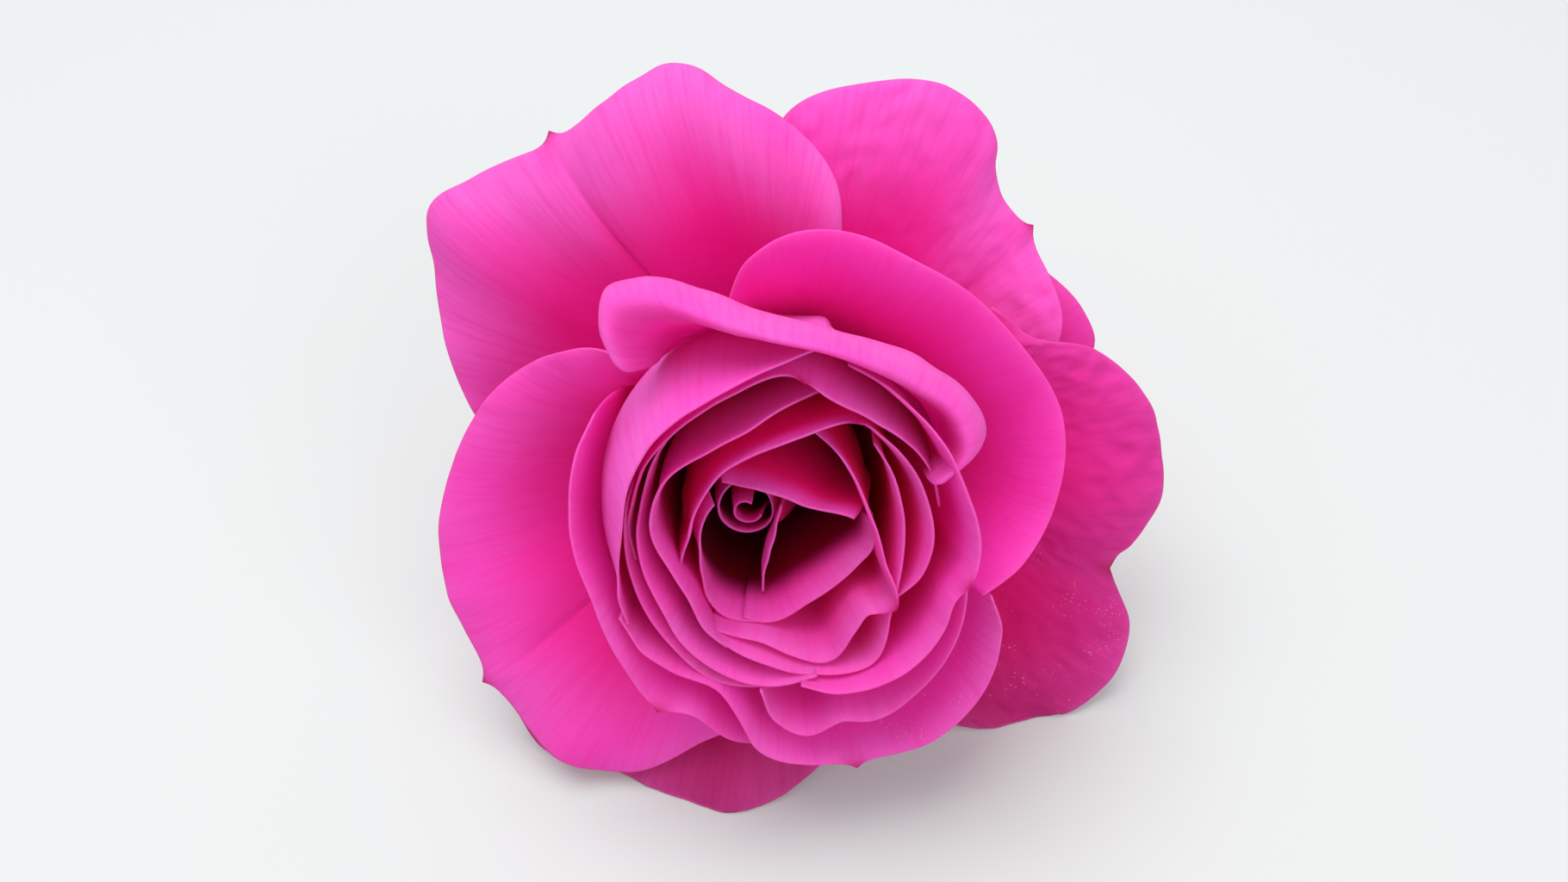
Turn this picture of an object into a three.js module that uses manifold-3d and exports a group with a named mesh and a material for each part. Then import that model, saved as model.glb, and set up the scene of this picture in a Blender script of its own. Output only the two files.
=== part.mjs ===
// A picked garden rose: a full bloom of separate petals on its hip, with five sepals, stamens and styles
// inside, and a short bare stem. It lies on its side, on the rims of its lowest petals and its cut end.
//
// Millimetres and degrees. The flower is drawn about its own axis, with the face of the bloom towards +Z
// and the petals growing from the top of the hip at the origin. The whole flower is then laid down.
import * as THREE from "three";
import { ParametricGeometry } from "three/addons/geometries/ParametricGeometry.js";
import { mergeVertices } from "three/addons/utils/BufferGeometryUtils.js";
import Module from "manifold-3d";

const wasm = await Module();
wasm.setup();

// ---- Driving dimensions -------------------------------------------------------------------------------
const HEART_LEAN = [-0.17, 0.03];    // sideways drift of the bloom's middle line for each mm of height
const PETAL_THICKNESS = 0.5;
const GAP = 0.3;                     // clearance left round a piece that is already in place
const FOOT_RADIUS = [3, 6];          // ring of petal feet on the hip, from the heart to the guard petals
const FOOT_HEIGHT = [2, -0.5];
const FOOT_SPREAD = 0.45;            // how much of a petal's own angle its foot takes up
const BELLY_SPREAD = 0.92;
const TIP_SPREAD = 1.2;              // how far a pointed tip draws its rim along with it
const PETAL_FACET = 7.5;             // width of a facet along the rim
const PETAL_STEPS_ACROSS = [4, 10];  // fewest and most
const PETAL_STEPS_UP = 6;            // from foot to rim
const PETAL_REACH = 0.36;
const REACH_RUN = 0.35;              // share of the rim over which a petal's reach changes
const RIM_SAMPLES = 48;              // for finding a rim's middle, tip and length
const SLOPE_STEP = 0.005;            // share of a surface over which its slope is taken
const ON_EDGE = 1e-6;
const RIM_CROWDING = 0.7;            // facets crowd towards a petal's edges, where it thins out

const HIP_OUTLINE = [                // radius and height, from the stem up to the bed of the petals
  [0, -14], [1.7, -14], [2.1, -12.5], [4.4, -9], [5.4, -5.5], [5.2, -3], [6.6, -1.4],
  [6.2, -0.9], [3.4, 1.1], [2.9, 1.5], [0, 1.5],
];
const HIP_SIDES = 20;

const SEPAL_COUNT = 5;
const SEPAL_FIRST_ANGLE = 18;
const SEPAL_WIDTH = 7;
const SEPAL_BASE = 0.6;              // width where it joins the hip, as a share of SEPAL_WIDTH
const SEPAL_SWELL = 1.6;             // how fast it widens from there
const SEPAL_END = 1.04;              // where its sides would meet, just past its tip
const SEPAL_TAPER = 1.2;
const SEPAL_THICKNESS = 0.6;
const SEPAL_SPINE = [[6.1, -2.6], [15, -2], [15.5, -13], [19, -23]];    // radius and height, bent back
const SEPAL_STEPS = [4, 10];

const STEM_RADIUS = [1.8, 2.3];      // under the hip and at the cut
const STEM_ROUTE = [[0, 0, -11], [0, 0, -30], [1, 2.5, -50], [2, 7.5, -63]];
const STEM_SIDES = 12;
const STEM_STEPS = 14;
const PRICKLES = [[0.35, 65, 3.2], [0.6, 200, 4], [0.85, 330, 4.4]];    // place along, angle round, length
const PRICKLE_ROOT = [2.4, 0.7];     // half length along the stem and half width across it
const PRICKLE_DROOP = -0.45;
const PRICKLE_SIDES = 8;
const PRICKLE_SUNK = 1;              // how deep a prickle's root goes into the stem

const STYLES_OUTLINE = [[0, 1.8], [0.8, 1.8], [0.7, 6], [1, 7.4], [0.8, 8.4], [0, 8.6]];
const STYLES_SIDES = 12;
const STAMEN_COUNT = 10;
const STAMEN_RING = [[1.4, 1.8], [2.2, 1.8], [2.2, 2.4], [1.4, 2.4], [1.4, 1.8]];
const STAMEN_RADIUS = 1.8;
const STAMEN_LENGTH = 7.5;
const STAMEN_FOOT = 2;
const FILAMENT_THICKNESS = 0.3;
const FILAMENT_SIDES = 4;
const STAMEN_SPREAD = 4;             // degrees outwards
const ANTHER_SIZE = [0.35, 0.7];     // half width and half length
const ANTHER_FACETS = [5, 4];        // round it and along it
const HEART_ROOM = [[0, 1], [2.7, 1], [2.9, 10.8], [0, 10.8]];    // left free for the stamens and styles

const SMALLEST_FACET = 0.03;        // slivers that a cut leaves below this are closed up
const EDGE_MARGIN = 0.02;            // share of a blade's length by which its clearance passes its edges
const LIE_PITCH = 59.7;               // turns the face of the bloom down to 30 degrees above level
const LIE_ROLL = 3.1;                // and over to its right, until the lowest petals share the surface

// ---- Petals -------------------------------------------------------------------------------------------
// order: 0 at the heart, 1 at the guard petals. belly: radius and height where the petal fills out.
// reach: how much of its length the lip takes, more where the lip rolls over, with startReach where it
// is another at the rim's first point. tip: angle and size of a pointed tip. rim: angle, radius and
// height along the free edge, and the lean of the petal there, 90 upright, over 90 hooding the heart,
// 0 flat out and below 0 bent back.
const PETALS = [
  { name: "guard_bottom", order: 1, belly: [16, -1], rim: [
    [-137, 48, 9, 10], [-128, 50, 11, 10], [-113, 45.5, 15, 0], [-103, 45.5, 18, 0], [-96, 45, 20, 0],
    [-88, 43, 19, 0], [-74, 36.5, 15, 10]] },
  { name: "guard_right_small", order: 1, belly: [16, -1], rim: [
    [49, 38, 6, 0], [40, 38.5, 6, 0], [26, 41, 6, -10], [20, 41, 6, -10], [13, 36, 6, 10]] },
  { name: "guard_top_right", order: 0.97, belly: [16, 1], tip: [44, 1.4], rim: [
    [92, 35.5, 12, 10], [88, 42, 13, -10], [77, 47, 13, -25], [65, 49.5, 12, -25], [59, 48, 11, -25],
    [50, 42, 10, -20], [43, 40.5, 10, -15], [36, 40, 12, 0], [29, 39, 13, 10], [23, 36.5, 13, 20]] },
  { name: "guard_top_left", order: 0.94, belly: [17, 2], tip: [121, 1.8], rim: [
    [175, 35.5, 9, 30], [166, 39, 10, 15], [151, 45.5, 11, -10], [142, 50.5, 12, -30],
    [132, 48.5, 13, -30], [121, 46, 15, -35], [111, 47.5, 17, -35], [101, 49, 17, -35],
    [93, 45.5, 18, -30], [85, 42, 19, -15], [76, 36, 20, 0], [72, 27.5, 19, 20]] },
  { name: "guard_right", order: 0.9, belly: [18, 2], tip: [-20, -0.6], rim: [
    [39, 33.5, 17, 30], [30, 35, 17, 0], [22, 41, 14, -20], [8, 46.5, 12, -30], [-3, 48, 12, -30],
    [-14, 46, 11, -20], [-20, 45.7, 8, -20], [-27, 51, 9.5, -5], [-35, 53, 9.5, -5],
    [-46, 50.8, 10, -5], [-61, 40, 12, 10]] },
  { name: "guard_left", order: 0.86, belly: [20, 3], tip: [-142, 1.6], rim: [
    [131, 21, 22, 55], [138, 25.5, 22, 15], [153, 31, 19, -15], [176, 37, 16, -20],
    [-165, 41.5, 15, -15], [-149, 43.5, 15, -15], [-138, 45, 15, -10], [-124, 46.5, 16.5, -5],
    [-114, 44, 17, 0], [-102, 34.5, 20, 15], [-93, 30.5, 21, 30]] },
  { name: "second_right", order: 0.8, belly: [22, 4], rim: [
    [95, 24, 26, 60], [88, 29, 28, 35], [78, 32.5, 28, 20], [55, 34, 28, 15], [34, 35, 26, 15],
    [14, 36, 25, 20], [-3, 34, 25, 28], [-14, 31, 28, 40], [-19, 28.5, 30, 50]] },
  { name: "cup_top_lip", order: 0.74, belly: [24, 8], reach: 0.5, startReach: 0.2, rim: [
    [121, 24, 35.5, -45], [120, 27.5, 35, -55], [116, 30.5, 34, -62], [108, 30.3, 34, -68],
    [96, 27.5, 34, -74], [80, 25.3, 35, -80], [62, 26, 35, -80], [45, 28, 34, -75],
    [31, 29.5, 33, -72], [23, 29, 33, -68], [18, 25.5, 33.5, -60]] },
  { name: "cup_left", order: 0.7, belly: [20.5, 6], tip: [-113, 0.9], rim: [
    [140, 20, 32, 85], [150, 19, 33, 80], [178, 17.5, 34, 78], [-152, 17.5, 34, 75],
    [-130, 20.5, 33, 68], [-112, 24.5, 31, 60], [-105, 24.5, 31, 60], [-92, 29, 28, 60],
    [-84, 30.5, 26, 65]] },
  { name: "cup_bottom", order: 0.66, belly: [21, 6], tip: [-68, 1], rim: [
    [-141, 17, 33, 85], [-115, 18.5, 33, 75], [-96, 20, 33, 67], [-90, 23, 32.5, 62],
    [-84, 30, 30.5, 52], [-78, 32.5, 29, 50], [-68, 34, 28, 45], [-52, 36.5, 28, 40],
    [-40, 35.5, 28, 40], [-29, 33, 28, 42], [-19, 29.5, 29.5, 55]] },
  { name: "cup_bottom_inner", order: 0.62, belly: [19.5, 6.5], rim: [
    [-7, 25, 34, 80], [-26, 27, 34, 70], [-46, 28.5, 32, 62], [-58, 28.3, 32, 58], [-64, 26.8, 32, 58],
    [-75, 27.5, 31, 58], [-80, 25, 31.5, 62], [-83, 20, 33, 78]] },
  { name: "cup_right", order: 0.58, belly: [19, 7], tip: [-11, 0.8], rim: [
    [58, 23, 36, 90], [40, 24, 38, 85], [13, 25.3, 38, 80], [-9, 26, 37, 75], [-16, 24.8, 36.7, 75],
    [-26, 25, 36, 72], [-44, 24.5, 35, 72], [-61, 22, 34, 80], [-69, 20, 34, 85]] },
  { name: "cup_left_hood", order: 0.54, belly: [18, 7], reach: 0.45, rim: [
    [63, 25, 38, 85], [75, 20.4, 38.5, 98], [92, 16.8, 39, 112], [113, 14.4, 39, 120],
    [145, 12, 38.5, 120], [171, 11, 38, 118], [-160, 12.6, 36, 110], [-137, 16.5, 33.5, 92]] },
  { name: "inner_top", order: 0.5, belly: [17.5, 7.5], tip: [68, 0.5], rim: [
    [-162, 11.7, 33, 92], [165, 11, 34, 95], [137, 12, 35, 98], [115, 13.2, 36, 102],
    [87, 16.4, 37, 106], [69, 19.6, 37, 108], [58, 18.9, 37, 110], [42, 19.6, 36, 110],
    [26, 21.2, 35, 103], [7, 22, 33, 95]] },
  { name: "inner_left_outer", order: 0.44, belly: [16.5, 8], rim: [
    [154, 12.4, 33, 88], [180, 11.6, 34, 85], [-150, 12.4, 34, 80], [-119, 15.2, 33.5, 75],
    [-98, 18.7, 32.5, 70], [-83, 20, 32, 72]] },
  { name: "inner_left_mid", order: 0.41, belly: [16, 8], rim: [
    [122, 13, 34, 90], [149, 10.5, 34.5, 88], [-170, 10, 35, 85], [-133, 11.3, 35, 80],
    [-107, 15.3, 34, 75], [-85, 18.8, 33, 70], [-64, 20, 33, 80]] },
  { name: "inner_left", order: 0.35, belly: [15, 8.5], rim: [
    [61, 18, 33, 100], [71, 14.4, 35, 100], [83, 11.7, 36, 98], [102, 9.8, 36, 97], [140, 9.2, 36, 92],
    [167, 8.4, 36, 90], [-151, 7.4, 35.5, 90], [-126, 8.4, 35, 90], [-104, 12.3, 34, 88],
    [-95, 14.4, 33, 88]] },
  { name: "inner_bottom_outer", order: 0.32, belly: [14, 9], rim: [
    [34, 17.7, 33, 90], [10, 17.7, 34, 86], [-13, 18.1, 34, 83], [-31, 19.2, 33.5, 78],
    [-49, 22, 32.5, 73], [-66, 19.4, 32.5, 72], [-80, 16.2, 33, 75], [-103, 13, 33, 80]] },
  { name: "inner_bottom", order: 0.28, belly: [13, 9.5], tip: [-27, 0.8], rim: [
    [56, 13, 30, 100], [37, 13.2, 32, 95], [10, 14.1, 34, 90], [-13, 16.2, 34, 82],
    [-27, 19.2, 34, 72], [-35, 17.3, 33.5, 65], [-45, 17.7, 33, 62], [-60, 19, 32, 62],
    [-69, 16.8, 32, 64], [-80, 14.2, 32, 69], [-105, 12.8, 32, 80]] },
  { name: "inner_top_hood", order: 0.335, belly: [14, 9.5], tip: [44, 0.5], rim: [
    [-144, 8, 32, 95], [-171, 4.8, 33, 97], [139, 4.6, 33.5, 100], [94, 7.1, 34.5, 105],
    [73, 9.6, 35, 106], [57, 13, 35, 106], [50, 15.6, 34.7, 104], [44, 18.2, 35.3, 95],
    [35, 18.9, 35, 86], [16, 20.3, 35, 80], [-5, 21, 35, 78], [-27, 19, 33, 88]] },
  { name: "heart_left", order: 0.2, belly: [10, 10.5], rim: [
    [144, 3.6, 31, 110], [180, 4, 31, 112], [-150, 4.8, 31, 112], [-123, 7.5, 30.5, 100],
    [-110, 10.3, 30, 80], [-98, 12, 30, 65], [-83, 12.7, 30, 62]] },
  { name: "heart_bottom", order: 0.17, belly: [9.5, 11], rim: [
    [1, 14.5, 32, 76], [-7, 14.8, 31.8, 70], [-22, 13.6, 31, 58], [-53, 12.2, 30.5, 55],
    [-81, 12.7, 30, 58], [-90, 12, 30, 65]] },
  { name: "heart_top_hood", order: 0.14, belly: [9, 11.5], rim: [
    [117, 5, 30, 110], [91, 4, 30.5, 115], [61, 4.1, 31, 120], [21, 6.4, 31.5, 122],
    [4, 12.6, 32, 113]] },
  { name: "heart_edge", order: 0.11, belly: [6, 12], rim: [
    [14, 4, 28, 95], [-17, 3.4, 28, 92], [-56, 4.4, 28, 90], [-75, 6.7, 27.5, 88],
    [-81, 10.3, 27, 85]] },
  { name: "bud_outer", order: 0.07, belly: [5, 11], rim: [
    [120, 3.4, 26, 100], [180, 3.2, 26, 105], [-120, 3, 25.5, 110], [-60, 2.6, 25.5, 110],
    [0, 2.4, 26, 105], [50, 2.6, 26, 100]] },
  { name: "bud_inner", order: 0.03, belly: [4.2, 11], rim: [
    [-30, 1.6, 26.5, 95], [-100, 1.7, 26, 100], [-170, 1.4, 26.5, 100], [120, 1.1, 27, 95],
    [60, 0.8, 27, 92]] },
];

const radians = THREE.MathUtils.degToRad;

function heartLine(height) {
  return new THREE.Vector3(HEART_LEAN[0] * height, HEART_LEAN[1] * height, height);
}

// A point at an angle, radius and height round the leaning middle line. The angle is in radians here.
function around(angle, radius, height) {
  const point = heartLine(height);
  point.x += radius * Math.cos(angle);
  point.y += radius * Math.sin(angle);
  return point;
}

function bezier(points, t) {
  const s = 1 - t;
  return points[0] * s ** 3 + 3 * points[1] * s * s * t + 3 * points[2] * s * t * t + points[3] * t ** 3;
}

// A smooth curve through rows of numbers: knots are the distances between the rows, measured in space.
function splineThrough(rows, knots) {
  const slopes = knots.map((knot, i) => rows[i].map((value, k) => (rows[i + 1][k] - value) / knot));
  const tangents = rows.map((row, i) => row.map((value, k) => {
    if (i === 0) return slopes[0][k];
    if (i === rows.length - 1) return slopes[i - 1][k];
    return (slopes[i - 1][k] * knots[i] + slopes[i][k] * knots[i - 1]) / (knots[i - 1] + knots[i]);
  }));
  const whole = knots.reduce((sum, knot) => sum + knot, 0);
  return (share) => {
    let along = share * whole;
    let i = 0;
    while (i < knots.length - 1 && along > knots[i]) along -= knots[i++];
    const t = along / knots[i];
    const weights = [
      2 * t ** 3 - 3 * t * t + 1, t ** 3 - 2 * t * t + t, 3 * t * t - 2 * t ** 3, t ** 3 - t * t,
    ];
    return rows[i].map((value, k) => weights[0] * value + weights[1] * knots[i] * tangents[i][k]
      + weights[2] * rows[i + 1][k] + weights[3] * knots[i] * tangents[i + 1][k]);
  };
}

// The angles of a rim run on without a jump at half a turn, so that a petal may wrap round the heart.
function unwrapped(rim) {
  let last = rim[0][0];
  return rim.map(([angle, ...rest]) => {
    last += THREE.MathUtils.euclideanModulo(angle - last + 180, 360) - 180;
    return [radians(last), rest[0], rest[1], radians(rest[2])];
  });
}

// The petal's surface as a function of its place across (0 to 1) and from foot to rim (0 to 1): a curve
// from the foot, out through the belly, and on to the rim at the lean that the rim gives.
function petalSurface({ order, belly, rim, reach = PETAL_REACH, startReach = reach, tip }) {
  const rows = unwrapped(rim);
  const corners = rows.map(([angle, radius, height]) => around(angle, radius, height));
  const knots = corners.slice(1).map((corner, i) => corner.distanceTo(corners[i]));
  const edge = splineThrough(rows, knots);
  const samples = Array.from({ length: RIM_SAMPLES + 1 }, (_, i) => edge(i / RIM_SAMPLES));
  const middle = samples.reduce((sum, row) => sum + row[0], 0) / samples.length;
  const footRadius = THREE.MathUtils.lerp(FOOT_RADIUS[0], FOOT_RADIUS[1], order);
  const footHeight = THREE.MathUtils.lerp(FOOT_HEIGHT[0], FOOT_HEIGHT[1], order);
  const away = ([angle]) => Math.abs(Math.sin((angle - radians(tip[0])) / 2));
  const tipRow = tip && samples.reduce((best, row) => (away(row) < away(best) ? row : best));
  const tipPoint = tip && around(tipRow[0], tipRow[1], tipRow[2]);

  return (across, up) => {
    const [angle, radius, height, lean] = edge(across);
    const foot = around(middle + (angle - middle) * FOOT_SPREAD, footRadius, footHeight);
    const fill = around(middle + (angle - middle) * BELLY_SPREAD, belly[0], belly[1]);
    const end = around(angle, radius, height);
    const run = THREE.MathUtils.clamp(across / REACH_RUN, 0, 1);
    const lipLength = THREE.MathUtils.lerp(startReach, reach, run) * end.distanceTo(foot);
    const outward = new THREE.Vector3(
      Math.cos(lean) * Math.cos(angle), Math.cos(lean) * Math.sin(angle), Math.sin(lean));
    if (tip) end.addScaledVector(outward, tip[1] * Math.exp(-end.distanceTo(tipPoint) / TIP_SPREAD));
    const lip = end.clone().addScaledVector(outward, -lipLength);
    return new THREE.Vector3(
      bezier([foot.x, fill.x, lip.x, end.x], up),
      bezier([foot.y, fill.y, lip.y, end.y], up),
      bezier([foot.z, fill.z, lip.z, end.z], up));
  };
}

function stepsAcross(surface) {
  const rim = Array.from({ length: RIM_SAMPLES + 1 }, (_, i) => surface(i / RIM_SAMPLES, 1));
  const length = rim.slice(1).reduce((sum, point, i) => sum + point.distanceTo(rim[i]), 0);
  return THREE.MathUtils.clamp(Math.round(length / PETAL_FACET), ...PETAL_STEPS_ACROSS);
}

// ---- Thin blades from a surface -----------------------------------------------------------------------
function crowded(t) {
  return t - RIM_CROWDING * Math.sin(2 * Math.PI * t) / (2 * Math.PI);
}

// A closed sheet about a surface: two faces, half a thickness to either side, that meet along the edges.
// margin stretches it a little past its own edges, for the clearance that a neighbour is cut to.
function sheet(surface, [stepsAcross, stepsUp], thickness, margin = 0) {
  const face = (side) => (u, v, target) => {
    const across = -margin + (1 + 2 * margin) * crowded(u);
    const up = -margin + (1 + 2 * margin) * crowded(v);
    const point = surface(across, up);
    const alongRim = surface(across + SLOPE_STEP, up).sub(surface(across - SLOPE_STEP, up));
    const toRim = surface(across, up + SLOPE_STEP).sub(surface(across, up - SLOPE_STEP));
    const normal = alongRim.cross(toRim).normalize();
    const inside = Math.min(u, 1 - u, v, 1 - v) > ON_EDGE;
    target.copy(point).addScaledVector(normal, inside ? side * thickness / 2 : 0);
  };
  const front = new ParametricGeometry(face(1), stepsAcross, stepsUp);
  const back = new ParametricGeometry(face(-1), stepsAcross, stepsUp);
  back.index.array.reverse();
  return joined([front, back]);
}

// One closed geometry, facing out, from open ones whose edges meet.
function joined(geometries) {
  const positions = [];
  for (const geometry of geometries) {
    const loose = geometry.index ? geometry.toNonIndexed() : geometry;
    positions.push(...loose.attributes.position.array);
  }
  const whole = new THREE.BufferGeometry();
  whole.setAttribute("position", new THREE.Float32BufferAttribute(positions, 3));
  const merged = mergeVertices(whole);
  if (enclosedVolume(merged) < 0) merged.index.array.reverse();
  return merged;
}

function enclosedVolume(geometry) {
  const corners = geometry.attributes.position;
  const index = geometry.index.array;
  const [a, b, c] = [new THREE.Vector3(), new THREE.Vector3(), new THREE.Vector3()];
  let volume = 0;
  for (let i = 0; i < index.length; i += 3) {
    a.fromBufferAttribute(corners, index[i]);
    b.fromBufferAttribute(corners, index[i + 1]);
    c.fromBufferAttribute(corners, index[i + 2]);
    volume += a.dot(b.cross(c)) / 6;
  }
  return volume;
}

// ---- Cutting and joining ------------------------------------------------------------------------------
function solidOf(geometry) {
  const bare = geometry.clone();
  bare.deleteAttribute("normal");
  bare.deleteAttribute("uv");
  const merged = mergeVertices(bare);
  return new wasm.Manifold(new wasm.Mesh({
    numProp: 3,
    vertProperties: new Float32Array(merged.attributes.position.array),
    triVerts: new Uint32Array(merged.index.array),
  }));
}

function geometryOf(solid) {
  const { vertProperties, triVerts } = solid.getMesh();
  const geometry = new THREE.BufferGeometry();
  geometry.setAttribute("position", new THREE.BufferAttribute(new Float32Array(vertProperties), 3));
  geometry.setIndex(Array.from(triVerts));
  return geometry;
}

function largestPiece(solid) {
  return solid.decompose().reduce((best, piece) => (piece.volume() > best.volume() ? piece : best));
}

// Pieces go in from the inside out, and each one is cut clear of those that are already in place.
const keepClear = [];

function placed(solid, clearance) {
  const free = keepClear.reduce((rest, taken) => rest.subtract(taken), solid).simplify(SMALLEST_FACET);
  keepClear.push(clearance.add(solid));
  return geometryOf(largestPiece(free));
}

// ---- The pieces under and inside the petals -----------------------------------------------------------
function turned(outline, sides, growth = 0) {
  const points = outline.map(([radius, height], i) => {
    const last = i === outline.length - 1;
    const lift = i === 0 ? -growth : (last || outline[i + 1][0] === 0 ? growth : 0);
    return new THREE.Vector2(radius === 0 ? 0 : radius + growth, height + lift);
  });
  return new THREE.LatheGeometry(points, sides).rotateX(Math.PI / 2);
}

function tube(route, sides, steps, radiusAt) {
  const section = new THREE.Shape();
  section.absarc(0, 0, 1, 0, 2 * Math.PI);
  const geometry = new THREE.ExtrudeGeometry(section, {
    steps, curveSegments: sides / 2, bevelEnabled: false, extrudePath: route,
  });
  const corner = new THREE.Vector3();
  const corners = geometry.attributes.position;
  const stations = Array.from({ length: steps + 1 }, (_, i) => route.getPointAt(i / steps));
  for (let i = 0; i < corners.count; i++) {
    corner.fromBufferAttribute(corners, i);
    const near = stations.reduce((best, station, k) => (
      corner.distanceTo(station) < corner.distanceTo(stations[best]) ? k : best), 0);
    const centre = stations[near];
    corner.sub(centre).setLength(radiusAt(near / steps)).add(centre);
    corners.setXYZ(i, corner.x, corner.y, corner.z);
  }
  return geometry;
}

function stemSolid() {
  const route = new THREE.CubicBezierCurve3(...STEM_ROUTE.map((point) => new THREE.Vector3(...point)));
  const radiusAt = (share) => THREE.MathUtils.lerp(STEM_RADIUS[0], STEM_RADIUS[1], share);
  const stalk = solidOf(tube(route, STEM_SIDES, STEM_STEPS, radiusAt));
  let stem = stalk.add(solidOf(turned(HIP_OUTLINE, HIP_SIDES)));
  for (const [share, angle, length] of PRICKLES) {
    const along = route.getTangentAt(share);
    const out = new THREE.Vector3(1, 0, 0).applyAxisAngle(along, radians(angle));
    out.addScaledVector(along, -out.dot(along)).normalize();
    const cone = new THREE.ConeGeometry(1, length + PRICKLE_SUNK, PRICKLE_SIDES);
    cone.translate(0, (length - PRICKLE_SUNK) / 2, 0);
    cone.scale(PRICKLE_ROOT[1], 1, PRICKLE_ROOT[0]);
    const shear = new THREE.Matrix4().makeShear(0, 0, 0, PRICKLE_DROOP, 0, 0);
    const basis = new THREE.Matrix4().makeBasis(out.clone().cross(along), out, along);
    const root = route.getPointAt(share).addScaledVector(out, radiusAt(share));
    cone.applyMatrix4(shear).applyMatrix4(basis.setPosition(root));
    stem = stem.add(solidOf(cone));
  }
  return stem;
}

function stamenSolid() {
  const ring = STAMEN_RING.map(([radius, height]) => new THREE.Vector2(radius, height));
  let stamens = solidOf(new THREE.LatheGeometry(ring, HIP_SIDES).rotateX(Math.PI / 2));
  for (let i = 0; i < STAMEN_COUNT; i++) {
    const filament = new THREE.CylinderGeometry(
      FILAMENT_THICKNESS / 2, FILAMENT_THICKNESS / 2, STAMEN_LENGTH, FILAMENT_SIDES);
    filament.translate(0, STAMEN_LENGTH / 2, 0);
    const anther = new THREE.SphereGeometry(ANTHER_SIZE[0], ...ANTHER_FACETS);
    anther.scale(1, ANTHER_SIZE[1] / ANTHER_SIZE[0], 1).translate(0, STAMEN_LENGTH, 0);
    for (const piece of [filament, anther]) {
      piece.rotateX(Math.PI / 2);
      piece.rotateY(radians(STAMEN_SPREAD));
      piece.translate(STAMEN_RADIUS, 0, STAMEN_FOOT);
      piece.rotateZ(2 * Math.PI * i / STAMEN_COUNT);
      stamens = stamens.add(solidOf(piece));
    }
  }
  return stamens;
}

// A sepal: broad where it joins the rim of the hip, narrowing to a thread, and bent back over the stem.
function sepalSurface(middle) {
  return (across, up) => {
    const radius = bezier(SEPAL_SPINE.map((point) => point[0]), up);
    const height = bezier(SEPAL_SPINE.map((point) => point[1]), up);
    const halfWidth = SEPAL_WIDTH / 2 * (SEPAL_BASE + SEPAL_SWELL * up) * (SEPAL_END - up) ** SEPAL_TAPER;
    const angle = middle + (2 * across - 1) * halfWidth / radius;
    return new THREE.Vector3(radius * Math.cos(angle), radius * Math.sin(angle), height);
  };
}

// ---- The whole flower ---------------------------------------------------------------------------------
const PETAL_PINK = 0xe5318f;
const STEM_GREEN = 0x6f8a4a;
const SEPAL_GREEN = 0x5d7d45;
const STAMEN_GOLD = 0xd9b24c;
const STYLE_GREEN = 0xc9cf8e;

const bloom = new THREE.Group();

function addPiece(name, geometry, color, roughness) {
  const material = new THREE.MeshStandardMaterial({ color, roughness, metalness: 0 });
  const mesh = new THREE.Mesh(geometry, material);
  mesh.name = name;
  bloom.add(mesh);
}

addPiece("stem", placed(stemSolid(), solidOf(turned(HIP_OUTLINE, HIP_SIDES, GAP))), STEM_GREEN, 0.6);
const heartRoom = solidOf(turned(HEART_ROOM, HIP_SIDES));
addPiece("styles", geometryOf(solidOf(turned(STYLES_OUTLINE, STYLES_SIDES))), STYLE_GREEN, 0.6);
addPiece("stamens", geometryOf(stamenSolid()), STAMEN_GOLD, 0.8);
keepClear.push(heartRoom);

for (let i = 0; i < SEPAL_COUNT; i++) {
  const surface = sepalSurface(radians(SEPAL_FIRST_ANGLE + 360 * i / SEPAL_COUNT));
  const blade = solidOf(sheet(surface, SEPAL_STEPS, SEPAL_THICKNESS));
  const room = solidOf(sheet(surface, SEPAL_STEPS, SEPAL_THICKNESS + 2 * GAP, EDGE_MARGIN));
  addPiece(`sepal_${i + 1}`, placed(blade, room), SEPAL_GREEN, 0.7);
}

for (const petal of [...PETALS].sort((a, b) => a.order - b.order)) {
  const surface = petalSurface(petal);
  const steps = [stepsAcross(surface), PETAL_STEPS_UP];
  const blade = solidOf(sheet(surface, steps, PETAL_THICKNESS));
  const room = solidOf(sheet(surface, steps, PETAL_THICKNESS + 2 * GAP, EDGE_MARGIN));
  addPiece(`petal_${petal.name}`, placed(blade, room), PETAL_PINK, 0.55);
}

// Laid down: the bloom faces -Y and up, the stem runs back along +Y, and the lowest point is at zero.
bloom.rotation.set(radians(LIE_PITCH), radians(LIE_ROLL), 0, "YXZ");
const rose = new THREE.Group();
rose.add(bloom);
rose.updateMatrixWorld(true);
const box = new THREE.Box3().setFromObject(rose, true);
rose.position.set(-(box.min.x + box.max.x) / 2, -(box.min.y + box.max.y) / 2, -box.min.z);

export default rose;
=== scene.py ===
"""A hot pink garden rose, picked, lying on its side with its face up: 26 petals, the stem with
its hip and prickles, five sepals, the stamens and the styles, on a plain pale table."""
import math

import bmesh
import bpy
import numpy as np
from bpy.props import FloatProperty, FloatVectorProperty, IntProperty, PointerProperty
from mathutils import Matrix, Vector, noise
from mathutils.bvhtree import BVHTree


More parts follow.
